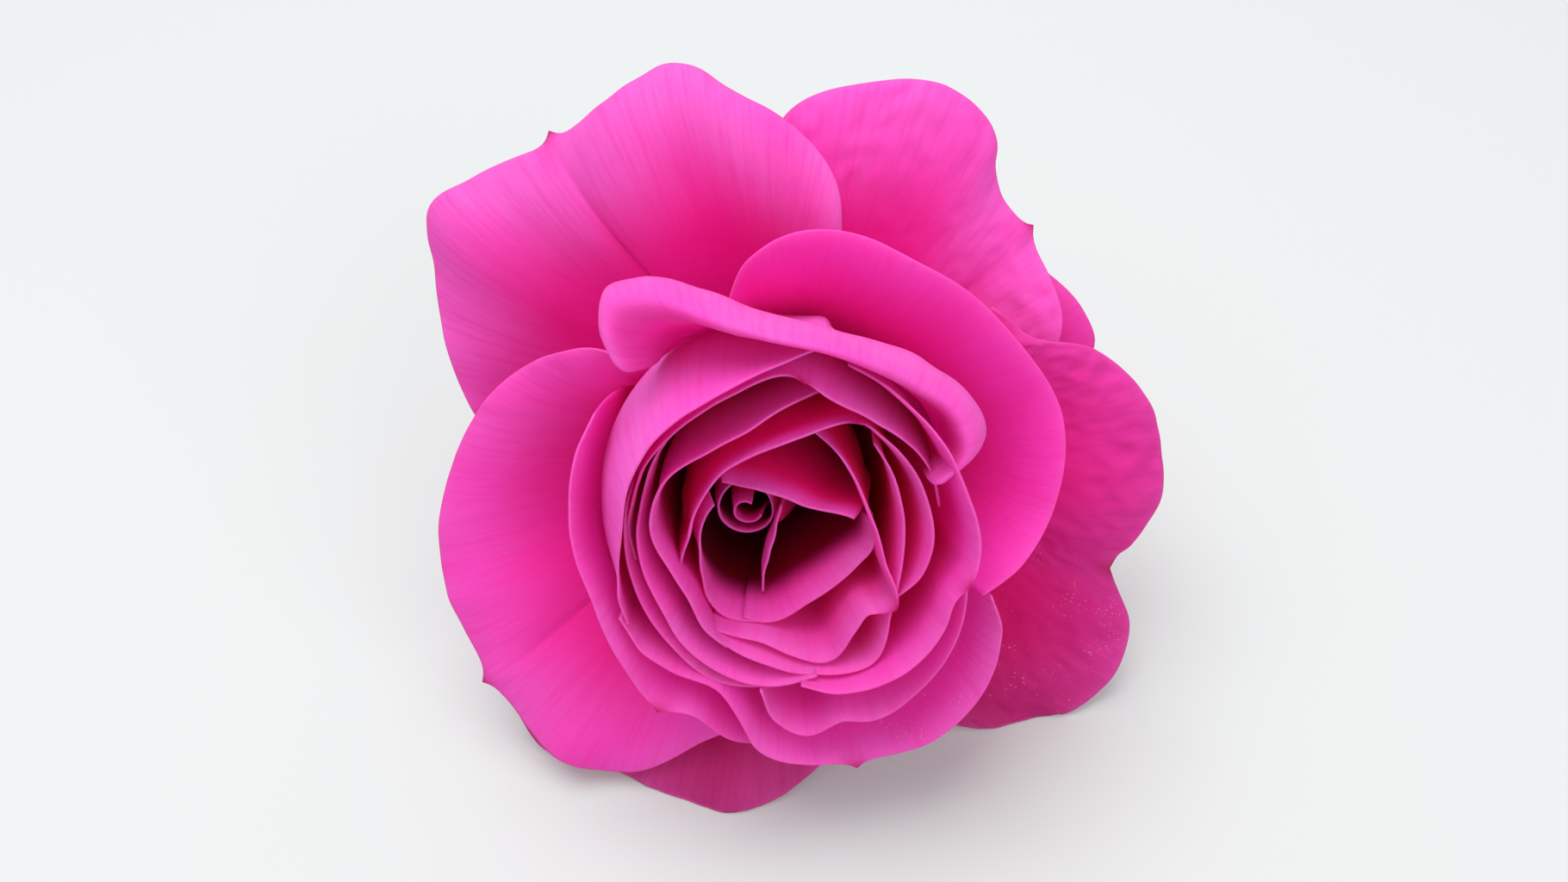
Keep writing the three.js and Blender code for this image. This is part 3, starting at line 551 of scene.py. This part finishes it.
def math_node(tree, operation, a, b):
    node = tree.nodes.new("ShaderNodeMath")
    node.operation = operation
    for socket, value in zip(node.inputs, (a, b)):
        if isinstance(value, (int, float)):
            socket.default_value = value
        else:
            tree.links.new(value, socket)
    return node.outputs[0]


def mixed(tree, amount, a, b, blend="MIX"):
    """Mixes two colours, or numbers given as colours, by a number or a socket."""
    node = tree.nodes.new("ShaderNodeMix")
    node.data_type = "RGBA"
    node.blend_type = blend
    for socket, value in ((node.inputs[0], amount), (node.inputs[6], a), (node.inputs[7], b)):
        if isinstance(value, (int, float, tuple)):
            socket.default_value = value
        else:
            tree.links.new(value, socket)
    return node.outputs[2]


def ranged(tree, value, low, high, to_low=0.0, to_high=1.0):
    node = tree.nodes.new("ShaderNodeMapRange")
    node.interpolation_type = "SMOOTHSTEP"
    for index, number in ((1, low), (2, high), (3, to_low), (4, to_high)):
        node.inputs[index].default_value = number
    tree.links.new(value, node.inputs[0])
    return node.outputs[0]


def texture(tree, kind, coordinates, scale, stretch=(1, 1, 1), **inputs):
    """A noise or Voronoi texture, with its coordinates stretched."""
    mapping = tree.nodes.new("ShaderNodeMapping")
    mapping.inputs["Scale"].default_value = stretch
    tree.links.new(coordinates, mapping.inputs["Vector"])
    node = add_node(tree, kind, "", Scale=scale, **inputs)
    tree.links.new(mapping.outputs[0], node.inputs["Vector"])
    return node.outputs[0]


def new_group(name, inputs, outputs):
    """A node group with these named sockets, each with its socket type."""
    group = bpy.data.node_groups.new(name, "ShaderNodeTree")
    for label, kind in inputs:
        group.interface.new_socket(name=label, in_out="INPUT", socket_type=kind)
    for label, kind in outputs:
        group.interface.new_socket(name=label, in_out="OUTPUT", socket_type=kind)
    return group, group.nodes.new("NodeGroupInput"), group.nodes.new("NodeGroupOutput")


def petal_pattern():
    """The colour and fine relief of a petal's skin: veins, mottling, pollen, and painted light and
    shade: lilac sheen, a pale rim highlight, shade deep in the cup and in the hollows, and blush
    that is partly shade.
    """
    group, given, made = new_group(
        "Petal skin",
        [("Skin", "NodeSocketVector"), ("Object", "NodeSocketVector"),
         ("Fade", "NodeSocketFloat"), ("Blush and shade", "NodeSocketFloat"),
         ("Dust", "NodeSocketFloat"), ("Rim highlight", "NodeSocketFloat"), ("Deep shade", "NodeSocketFloat"),
         ("Hollow shade", "NodeSocketFloat")],
        [("Color", "NodeSocketColor"), ("Glow", "NodeSocketColor"), ("Height", "NodeSocketFloat"),
         ("Roughness", "NodeSocketFloat")])
    skin, place = given.outputs["Skin"], given.outputs["Object"]
    streaks = texture(group, "ShaderNodeTexNoise", skin, 60, (1.0, 0.04, 1), Detail=5.0, Roughness=0.6)
    clouds = texture(group, "ShaderNodeTexNoise", place, 90, Detail=4.0, Roughness=0.55)
    grain = texture(group, "ShaderNodeTexNoise", place, 1500, Detail=2.0, Roughness=0.6)
    pink = mixed(group, ranged(group, clouds, 0.3, 0.7), HOT_PINK, WARM_PINK)
    # Dark blush: partly the petal's own older colour, partly painted shade.
    pink = mixed(group, given.outputs["Blush and shade"], pink, DARK_BLUSH_AND_SHADE)
    # Painted lilac sheen, streaked along the veins.
    lilac = math_node(group, "MULTIPLY", given.outputs["Fade"],
                      ranged(group, streaks, 0.3, 0.7, 0.82, 1.15))
    lilac = math_node(group, "MULTIPLY", lilac, ranged(group, clouds, 0.2, 0.8, 0.8, 1.15))
    pink = mixed(group, math_node(group, "MINIMUM", lilac, 1.0), pink, LILAC_SHEEN)
    veins = ranged(group, streaks, 0.36, 0.5, 0.08, 0.0)
    pink = mixed(group, veins, pink, VEIN_RED)
    # Painted shade deeper in the cup.
    pink = mixed(group, given.outputs["Deep shade"], pink, DEEP_SHADE_RED)
    # Painted highlight along the rim.
    pink = mixed(group, given.outputs["Rim highlight"], pink, RIM_HIGHLIGHT_PINK)
    # Painted shade, nearly black, in the hollows.
    pink = mixed(group, given.outputs["Hollow shade"], pink, HOLLOW_SHADE_RED)
    specks = texture(group, "ShaderNodeTexVoronoi", place, 2200)
    patches = texture(group, "ShaderNodeTexNoise", place, 260, Detail=3.0)
    pollen = math_node(group, "MULTIPLY", ranged(group, specks, 0.12, 0.22, 1, 0),
                       ranged(group, patches, 0.52, 0.62))
    pollen = math_node(group, "MULTIPLY", pollen, given.outputs["Dust"])
    coat = mixed(group, pollen, pink, POLLEN)
    group.links.new(coat, made.inputs["Color"])
    group.links.new(mixed(group, 0.6, pink, GLOW_PINK), made.inputs["Glow"])
    relief = math_node(group, "ADD", math_node(group, "MULTIPLY", streaks, 0.7),
                       math_node(group, "MULTIPLY", grain, 0.3))
    relief = math_node(group, "ADD", relief, math_node(group, "MULTIPLY", pollen, 0.6))
    group.links.new(relief, made.inputs["Height"])
    group.links.new(ranged(group, clouds, 0.3, 0.7, 0.5, 0.62), made.inputs["Roughness"])
    return group


def petal_material(name, pattern, glow, layers):
    """Velvety petal: soft skin with a sheen, and light coming through a share, glow, of it."""
    material, tree, skin = new_material(name)
    group = tree.nodes.new("ShaderNodeGroup")
    group.node_tree = pattern
    coordinates = tree.nodes.new("ShaderNodeTexCoord")
    tree.links.new(coordinates.outputs["UV"], group.inputs["Skin"])
    tree.links.new(coordinates.outputs["Object"], group.inputs["Object"])
    for socket, attribute in layers.items():
        layer = tree.nodes.new("ShaderNodeAttribute")
        layer.attribute_name = attribute
        tree.links.new(layer.outputs["Fac"], group.inputs[socket])
    bump = add_node(tree, "ShaderNodeBump", "Fine skin", Strength=0.35, Distance=0.00025)
    tree.links.new(group.outputs["Height"], bump.inputs["Height"])
    tree.links.new(group.outputs["Color"], skin.inputs["Base Color"])
    tree.links.new(group.outputs["Roughness"], skin.inputs["Roughness"])
    tree.links.new(bump.outputs[0], skin.inputs["Normal"])
    skin.inputs["Specular IOR Level"].default_value = 0.12
    skin.inputs["Sheen Weight"].default_value = 0.05
    skin.inputs["Sheen Roughness"].default_value = 0.4
    skin.inputs["Sheen Tint"].default_value = SHEEN_PINK
    through = add_node(tree, "ShaderNodeBsdfTranslucent", "Light through the petal")
    tree.links.new(group.outputs["Glow"], through.inputs["Color"])
    tree.links.new(bump.outputs[0], through.inputs["Normal"])
    both = add_node(tree, "ShaderNodeMixShader", "Skin and glow", Fac=glow)
    tree.links.new(skin.outputs[0], both.inputs[1])
    tree.links.new(through.outputs[0], both.inputs[2])
    tree.links.new(both.outputs[0], tree.nodes["Material Output"].inputs["Surface"])
    return material


def green_material(name, dark, light, red, roughness, stripes):
    """Stem and sepal skin: two greens, a reddish bloom where the attribute warm says so."""
    material, tree, skin = new_material(name)
    place = tree.nodes.new("ShaderNodeTexCoord").outputs["Object"]
    clouds = texture(tree, "ShaderNodeTexNoise", place, 260, Detail=5.0)
    fine = texture(tree, "ShaderNodeTexNoise", place, stripes, (1, 1, 0.25), Detail=4.0)
    colour = mixed(tree, ranged(tree, clouds, 0.35, 0.65), dark, light)
    colour = mixed(tree, ranged(tree, fine, 0.4, 0.7, 0, 0.35), colour, light)
    warm = tree.nodes.new("ShaderNodeAttribute")
    warm.attribute_name = "warm"
    colour = mixed(tree, warm.outputs["Fac"], colour, red)
    pale = tree.nodes.new("ShaderNodeAttribute")
    pale.attribute_name = "pale"
    colour = mixed(tree, pale.outputs["Fac"], colour, (0.52, 0.55, 0.27, 1))
    tree.links.new(colour, skin.inputs["Base Color"])
    tree.links.new(ranged(tree, fine, 0.3, 0.7, roughness, roughness + 0.12), skin.inputs["Roughness"])
    bump = add_node(tree, "ShaderNodeBump", "Fine skin", Strength=0.3, Distance=0.0003)
    tree.links.new(fine, bump.inputs["Height"])
    tree.links.new(bump.outputs[0], skin.inputs["Normal"])
    skin.inputs["Specular IOR Level"].default_value = 0.35
    return material


def plain_material(name, colour, other, roughness, scale):
    """Two close colours, mottled."""
    material, tree, skin = new_material(name)
    place = tree.nodes.new("ShaderNodeTexCoord").outputs["Object"]
    clouds = texture(tree, "ShaderNodeTexNoise", place, scale, Detail=4.0)
    tree.links.new(mixed(tree, ranged(tree, clouds, 0.35, 0.65), colour, other),
                   skin.inputs["Base Color"])
    skin.inputs["Roughness"].default_value = roughness
    return material


# ---------------------------------------------------------------- settings


class RosePetalSettings(bpy.types.PropertyGroup):
    foot_thickness: FloatProperty(
        name="Foot Thickness", description="How thick a petal is at its foot",
        default=0.0005, min=0.0001, subtype="DISTANCE", unit="LENGTH")
    rim_share: FloatProperty(
        name="Rim Thickness", description="The rim's thickness, as a share of the foot's",
        default=0.5, min=0.1, max=1, subtype="FACTOR")
    room: FloatProperty(
        name="Room", description="How far petals stay clear of each other",
        default=0.0005, min=0, subtype="DISTANCE", unit="LENGTH")
    spacing: FloatProperty(
        name="Mesh Spacing", description="How far apart the vertices are along a rim",
        default=0.0007, min=0.0003, subtype="DISTANCE", unit="LENGTH")
    rows: IntProperty(
        name="Rows", description="How many rows of vertices a petal has from foot to rim",
        default=56, min=12, max=120)


class RoseGreenSettings(bpy.types.PropertyGroup):
    stem_sides: IntProperty(
        name="Stem Sides", description="How many vertices there are round the stem",
        default=48, min=12, max=96)
    sepal_width: FloatProperty(
        name="Sepal Width", description="The width of a sepal before it tapers",
        default=0.007, min=0.002, subtype="DISTANCE", unit="LENGTH")
    sepal_thickness: FloatProperty(
        name="Sepal Thickness", description="The thickness of a sepal",
        default=0.0006, min=0.0001, subtype="DISTANCE", unit="LENGTH")


class RoseHeartSettings(bpy.types.PropertyGroup):
    stamens: IntProperty(
        name="Stamens", description="How many stamens stand round the styles",
        default=10, min=3, max=40)
    stamen_length: FloatProperty(
        name="Stamen Length", description="The length of a filament",
        default=0.0075, min=0.001, subtype="DISTANCE", unit="LENGTH")
    spread: FloatProperty(
        name="Spread", description="How far the stamens lean outwards",
        default=math.radians(4), subtype="ANGLE", unit="ROTATION")


class RoseStageSettings(bpy.types.PropertyGroup):
    table_size: FloatProperty(
        name="Table Size", description="The width of the pale table",
        default=3.0, min=0.5, subtype="DISTANCE", unit="LENGTH")
    table_color: FloatVectorProperty(
        name="Table Color", description="The colour of the table",
        default=(0.50, 0.51, 0.50), size=3, min=0, max=1, subtype="COLOR")
    key_power: FloatProperty(
        name="Key Power", description="The power of the large soft light above",
        default=4.2, min=0, subtype="POWER", unit="POWER")
    fill_power: FloatProperty(
        name="Fill Power", description="The power of the soft light from the front",
        default=1.5, min=0, subtype="POWER", unit="POWER")
    sky: FloatProperty(
        name="Sky", description="The strength of the pale light all round",
        default=0.85, min=0, subtype="FACTOR")


# ---------------------------------------------------------------- operators


class ROSE_OT_petals(bpy.types.Operator):
    """Grow the petals, from the bud outwards"""
    bl_idname = "rose.petals"
    bl_label = "Petals"

    def execute(self, context):
        settings = context.scene.rose_petals
        pattern = petal_pattern()
        # The layers carry painted light and shade: lilac sheen, rim highlight, shade deep in the cup and
        # in the hollows, and a dark blush that is partly shade.
        outside = petal_material("Rose petal outside", pattern, 0.42, {
            "Fade": "outer_painted_sheen", "Blush and shade": "blush_and_shade", "Rim highlight": "rim", "Deep shade": "outer_deep_shade"})
        inside = petal_material("Rose petal inside", pattern, 0.55, {
            "Fade": "painted_sheen", "Blush and shade": "blush_and_shade", "Rim highlight": "rim", "Dust": "dust", "Deep shade": "deep_shade",
            "Hollow shade": "dark"})
        room = settings.room / MM
        inner = []
        names = sorted(PETALS, key=lambda name: PETALS[name]["order"])
        for seed, name in enumerate(names):
            facts = PETALS[name]
            rough = petal_places(facts, 24, 12)
            width = np.linalg.norm(np.diff(rough[-1], axis=0), axis=-1).sum()
            columns = int(min(150, max(40, width * MM / settings.spacing)))
            places = petal_places(facts, columns, settings.rows)
            places = keep_outside(places, inner, room)
            places, below, across = petal_skin(places, facts, 3.7 * seed)
            flat = places.reshape(-1, 3).tolist()
            squares = [(r * columns + c, r * columns + c + 1,
                        (r + 1) * columns + c + 1, (r + 1) * columns + c)
                       for r in range(settings.rows - 1) for c in range(columns - 1)]
            inner.append(BVHTree.FromPolygons(flat, squares))
            piece = self.grow(name, facts, places, below, across, outside, settings)
            piece.data.materials.append(inside)
        if len(inner) != len(PETALS):
            raise RuntimeError("some petals weren't grown")
        return {"FINISHED"}

    def grow(self, name, facts, places, below, across, material, settings):
        """Makes one petal's piece from its grid of places."""
        paint = petal_paint(facts, places, below, across)
        bm = grid_mesh(in_frame(places), paint, width=across.max() / 50)
        self.face_outwards(bm)
        shares = [vert[bm.verts.layers.float["thick"]] for vert in bm.verts]
        piece = finished(bm, "rose_petal_" + name, material, ["petal_" + name])
        thin = piece.vertex_groups.new(name="thickness")
        for i, share in enumerate(shares):
            thin.add([i], share, "REPLACE")
        solid = piece.modifiers.new("Thickness", "SOLIDIFY")
        solid.thickness = settings.foot_thickness
        solid.offset = 0
        solid.vertex_group = "thickness"
        solid.thickness_vertex_group = settings.rim_share
        solid.use_quality_normals = True
        solid.material_offset = 1
        solid.material_offset_rim = 1
        return piece

    def face_outwards(self, bm):
        """Turns the faces so that they look away from the heart."""
        bm.normal_update()
        middle = Vector(in_frame([0, 0, 12]))
        away = sum(face.normal.dot(face.calc_center_median() - middle) * face.calc_area()
                   for face in bm.faces)
        if away < 0:
            bmesh.ops.reverse_faces(bm, faces=bm.faces)


class ROSE_OT_stem(bpy.types.Operator):
    """Make the hip and stem as one skin, the prickles, and the pale cut end"""
    bl_idname = "rose.stem"
    bl_label = "Hip and Stem"

    def execute(self, context):
        sides = context.scene.rose_greens.stem_sides
        stations = self.stations()
        places = np.zeros((len(stations), sides + 1, 3))
        for row, (centre, sideways, up, radius, wobble) in enumerate(stations):
            for column in range(sides + 1):
                turn = 2 * math.pi * column / sides
                swell = 1 + wobble * noise.noise(Vector((math.cos(turn), math.sin(turn), row * 0.12)))
                place = centre + (sideways * math.cos(turn) + up * math.sin(turn)) * radius * swell
                places[row, column] = place
        rows = np.arange(len(stations))[:, None]
        turns = np.linspace(0, 2 * math.pi, sides + 1)[None, :]
        sunny = 0.5 + 0.5 * np.cos(turns - 2.4)
        warm = 0.12 + 0.45 * sunny * rows / len(stations)
        pale = (rows >= len(stations) - len(CUT_END)) + 0 * turns
        bm = grid_mesh(in_frame(places), {"warm": warm, "pale": pale})
        self.prickles(bm)
        bmesh.ops.remove_doubles(bm, verts=bm.verts, dist=1e-6)
        bmesh.ops.recalc_face_normals(bm, faces=bm.faces)
        green = green_material("Rose stem", (0.045, 0.13, 0.022, 1), (0.11, 0.26, 0.05, 1),
                               (0.20, 0.055, 0.03, 1), 0.38, 900)
        finished(bm, "rose_stem", green, ["stem"])
        return {"FINISHED"}

    def route(self, share):
        """The stem's middle and direction at a share of its run, in millimetres."""
        points = [np.array(point, float) for point in STEM_ROUTE]
        ahead = bezier(points, min(1.0, share + 0.01)) - bezier(points, max(0.0, share - 0.01))
        return Vector(bezier(points, share)), Vector(ahead).normalized()

    def stations(self):
        """Rings down the hip and the stem: middle, two cross directions, radius, unevenness."""
        rings = [(Vector((0, 0, z)), Vector((0, 0, -1)), r, 0.0 if z > -2 else 0.03)
                 for r, z in self.hip_rings()]
        for step in range(1, STEM_RINGS + 1):
            share = STEM_START + (1 - STEM_START) * step / STEM_RINGS
            middle, ahead = self.route(share)
            rings.append((middle, ahead, stem_radius(share), 0.05))
        middle, ahead = self.route(1.0)
        for radius, depth in CUT_END:
            rings.append((middle - ahead * depth * 0.5, ahead, STEM_RADIUS[1] * radius, 0.02))
        made = []
        for middle, ahead, radius, wobble in rings:
            sideways = Vector((0, 1, 0)).cross(ahead).normalized()
            made.append((middle, sideways, ahead.cross(sideways), radius, wobble))
        return made

    def hip_rings(self):
        """The hip's outline with rounder steps between its points."""
        outline = np.array([(0.001, HIP_OUTLINE[0][1])] + HIP_OUTLINE, float)
        steps = np.linalg.norm(np.diff(outline, axis=0), axis=1)
        return [(float(r), float(z)) for r, z in spline(outline, steps, HIP_RINGS)]

    def prickles(self, bm):
        """Hooked prickles, each with a long root on the stem."""
        for share, angle, length in PRICKLES:
            middle, ahead = self.route(share)
            out = Vector((math.cos(math.radians(angle)), math.sin(math.radians(angle)), 0))
            out = (out - ahead * out.dot(ahead)).normalized()
            side = out.cross(ahead)
            rings, sides = 14, 20
            places = np.zeros((rings, sides + 1, 3))
            for row in range(rings):
                rise = row / (rings - 1)
                height = stem_radius(share) - PRICKLE_ROOT + (length + PRICKLE_ROOT) * rise
                thin = (1 - rise) ** 1.35
                sag = -0.5 * length * rise ** 1.8
                for column in range(sides + 1):
                    turn = 2 * math.pi * column / sides
                    places[row, column] = (
                        middle + out * height
                        + ahead * (PRICKLE_BASE[0] * thin * math.cos(turn) - sag * 0.9)
                        + side * (PRICKLE_BASE[1] * thin * math.sin(turn)))
            warm = np.linspace(0, 1.4, rings)[:, None].clip(0.2, 1) * np.ones((1, sides + 1))
            join(bm, grid_mesh(in_frame(places), {"warm": warm, "pale": 0 * warm}, closed=True))


class ROSE_OT_sepals(bpy.types.Operator):
    """Hang the five sepals below the petals"""
    bl_idname = "rose.sepals"
    bl_label = "Sepals"

    def execute(self, context):
        settings = context.scene.rose_greens
        green = green_material("Rose sepal", (0.05, 0.15, 0.025, 1), (0.13, 0.30, 0.06, 1),
                               (0.22, 0.06, 0.04, 1), 0.5, 700)
        across = np.linspace(0, 1, 33)[None, :]
        up = np.linspace(0, 1, 61)[:, None]
        radii = bezier([point[0] for point in SEPAL_SPINE], up)
        heights = bezier([point[1] for point in SEPAL_SPINE], up)
        for number, angle in enumerate(SEPAL_ANGLES, 1):
            half = settings.sepal_width / MM / 2 * (0.6 + 1.6 * up) * (1.04 - up) ** 1.2
            teeth = 0.35 * np.maximum(0, np.sin(up * 17 + number)) * smooth_step(0.15, 0.4, up) * (1 - up)
            half = np.maximum(half * (1 - 0.75 * smooth_step(0.93, 1, up)) + teeth, 0.08)
            side = 2 * across - 1
            turns = math.radians(angle) + side * half / radii
            places = round_heart(turns, radii, heights) - round_heart(0, 0, heights + 0 * across)
            places[..., 2] = heights
            cup = 0.45 * (side ** 2) * np.minimum(1, half / 2) - 0.18 * np.exp(-(side / 0.12) ** 2)
            cup = cup + 0.25 * waves(side * 1.3, up * 7, number * 4.1) * smooth_step(0.1, 0.4, up)
            places = places - skin_normals(places) * cup[..., None]
            edge = np.abs(side) + 0 * up
            bm = grid_mesh(in_frame(places), {"warm": 0.5 * edge ** 4,
                                              "pale": 0.25 * np.exp(-(edge / 0.1) ** 2)})
            piece = finished(bm, "rose_sepal_%d" % number, green, ["sepal_%d" % number])
            solid = piece.modifiers.new("Thickness", "SOLIDIFY")
            solid.thickness = settings.sepal_thickness
            solid.offset = 0
        return {"FINISHED"}


class ROSE_OT_heart(bpy.types.Operator):
    """Stand the styles and the stamens in the heart of the flower"""
    bl_idname = "rose.heart"
    bl_label = "Stamens and Styles"

    def execute(self, context):
        settings = context.scene.rose_heart
        cream = plain_material("Rose style", (0.55, 0.42, 0.12, 1), (0.62, 0.30, 0.16, 1), 0.55, 900)
        gold = plain_material("Rose stamen", (0.70, 0.36, 0.05, 1), (0.80, 0.52, 0.10, 1), 0.6, 700)
        outline = np.array(STYLES_OUTLINE, float)
        steps = np.linalg.norm(np.diff(outline, axis=0), axis=1)
        profile = spline(outline, steps, 40)
        turns = np.linspace(0, 2 * math.pi, 37)[None, :]
        ribs = 1 + 0.06 * np.cos(turns * 6)
        places = turned(np.maximum(profile[:, :1], 0) * ribs, profile[:, 1:], turns)
        bm = grid_mesh(in_frame(places), closed=True)
        finished(bm, "rose_styles", cream, ["styles"])
        bm = bmesh.new()
        count = settings.stamens
        length = settings.stamen_length / MM
        for number in range(count):
            turn = 2 * math.pi * number / count
            self.stamen(bm, turn, length, settings.spread)
        collar = np.array(COLLAR_OUTLINE)
        places = turned(collar[:, :1], collar[:, 1:], turns)
        join(bm, grid_mesh(in_frame(places), closed=True))
        bmesh.ops.recalc_face_normals(bm, faces=bm.faces)
        finished(bm, "rose_stamens", gold, ["stamens"])
        return {"FINISHED"}

    def stamen(self, bm, turn, length, spread):
        """One thin filament with its anther, standing at this turn round the styles."""
        turns = np.linspace(0, 2 * math.pi, 13)[None, :]
        out = np.array([math.cos(turn), math.sin(turn), 0])
        side = np.array([-math.sin(turn), math.cos(turn), 0])
        along = out * math.sin(spread) + np.array([0, 0, math.cos(spread)])
        base = out * 1.8 + np.array([0, 0, 2])
        across = np.cross(side, along)
        rise = np.concatenate([[0], np.linspace(0, 1, 14), [1]])[:, None]
        radii = np.full(rise.shape, 0.15)
        radii[0] = radii[-1] = 0
        self.tube(bm, base + along * (rise * length)[..., None][:, 0], radii, turns, side, across)
        rise = np.linspace(0, math.pi, 15)[:, None]
        radii = 0.34 * np.sin(rise) * (1 - 0.18 * np.sin(rise * 2) ** 2)
        middle = base + along * (length - 0.68 * np.cos(rise))[..., None][:, 0]
        self.tube(bm, middle, np.maximum(radii, 0), turns, side, across)

    def tube(self, bm, middle, radii, turns, side, across):
        """A round skin about these middles."""
        places = (middle[:, None, :] + radii[..., None] * (
            np.cos(turns)[..., None] * side + np.sin(turns)[..., None] * across))
        join(bm, grid_mesh(in_frame(places), closed=True))


class ROSE_OT_stage(bpy.types.Operator):
    """Lay the pale table, hang the soft lights and place the camera"""
    bl_idname = "rose.stage"
    bl_label = "Table, Lights and Camera"

    def execute(self, context):
        settings = context.scene.rose_stage
        scene = context.scene
        bm = bmesh.new()
        bmesh.ops.create_grid(bm, x_segments=1, y_segments=1, size=settings.table_size / 2)
        mesh = bpy.data.meshes.new("table")
        bm.to_mesh(mesh)
        bm.free()
        table = bpy.data.objects.new("table", mesh)
        scene.collection.objects.link(table)
        material, _, skin = new_material("Pale table")
        skin.inputs["Base Color"].default_value = (*settings.table_color, 1)
        skin.inputs["Roughness"].default_value = 0.8
        mesh.materials.append(material)
        world = bpy.data.worlds.new("Pale sky")
        world.use_nodes = True
        sky = world.node_tree.nodes["Background"]
        sky.inputs["Color"].default_value = (0.93, 0.96, 1, 1)
        sky.inputs["Strength"].default_value = settings.sky
        scene.world = world
        scene.view_settings.view_transform = "Standard"
        tilt = math.radians(CAMERA_TILT)
        right = Vector((1, 0, 0))
        up = Vector((0, math.cos(tilt), -math.sin(tilt)))
        back = Vector((0, math.sin(tilt), math.cos(tilt)))
        turn = Matrix((LIE @ right, LIE @ up, LIE @ back)).transposed()
        self.light("key light", turn @ Vector(KEY_PLACE), settings.key_power)
        self.light("fill light", turn @ Vector(FILL_PLACE), settings.fill_power)
        camera = bpy.data.cameras.new("camera")
        camera.lens = CAMERA_LENS
        camera.sensor_width = 36
        camera.clip_start = 0.005
        seat = bpy.data.objects.new("camera", camera)
        scene.collection.objects.link(seat)
        place = Vector(in_frame(np.array(CAMERA_AIM) + np.array(back) * CAMERA_DISTANCE))
        seat.matrix_world = Matrix.Translation(place) @ turn.to_4x4()
        scene.camera = seat
        return {"FINISHED"}

    def light(self, name, way, power):
        """A square soft light in this direction from the flower, in metres, facing it."""
        light = bpy.data.lights.new(name, "AREA")
        light.size = LIGHT_SIZE
        light.energy = power
        lamp = bpy.data.objects.new(name, light)
        bpy.context.scene.collection.objects.link(lamp)
        lamp.location = HOME + way
        lamp.rotation_euler = way.to_track_quat("Z", "Y").to_euler()


class ROSE_PT_panel(bpy.types.Panel):
    """The rose's settings and the steps that build it"""
    bl_label = "Garden Rose"
    bl_idname = "ROSE_PT_panel"
    bl_space_type = "VIEW_3D"
    bl_region_type = "UI"
    bl_category = "Rose"

    def draw(self, context):
        for group, steps in GROUPS.items():
            box = self.layout.box()
            settings = getattr(context.scene, group)
            for name in settings.bl_rna.properties.keys():
                if name not in ("rna_type", "name"):
                    box.prop(settings, name)
            for step in steps:
                box.operator(step)


SETTINGS = {
    "rose_petals": RosePetalSettings,
    "rose_greens": RoseGreenSettings,
    "rose_heart": RoseHeartSettings,
    "rose_stage": RoseStageSettings,
}
GROUPS = {
    "rose_petals": ["rose.petals"],
    "rose_greens": ["rose.stem", "rose.sepals"],
    "rose_heart": ["rose.heart"],
    "rose_stage": ["rose.stage"],
}
OPERATORS = (ROSE_OT_petals, ROSE_OT_stem, ROSE_OT_sepals, ROSE_OT_heart, ROSE_OT_stage)


def register():
    for name, group in SETTINGS.items():
        bpy.utils.register_class(group)
        setattr(bpy.types.Scene, name, PointerProperty(type=group))
    for operator in OPERATORS:
        bpy.utils.register_class(operator)
    bpy.utils.register_class(ROSE_PT_panel)


def unregister():
    bpy.utils.unregister_class(ROSE_PT_panel)
    for operator in reversed(OPERATORS):
        bpy.utils.unregister_class(operator)
    for name, group in SETTINGS.items():
        delattr(bpy.types.Scene, name)
        bpy.utils.unregister_class(group)


def corners(bounds):
    return [list(map(float, corner)) for corner in bounds]


def main():
    register()
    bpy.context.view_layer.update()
    bpy.ops.rose.petals()
    bpy.ops.rose.stem()
    bpy.ops.rose.sepals()
    bpy.ops.rose.heart()
    bpy.ops.rose.stage()


if __name__ == "__main__":
    main()
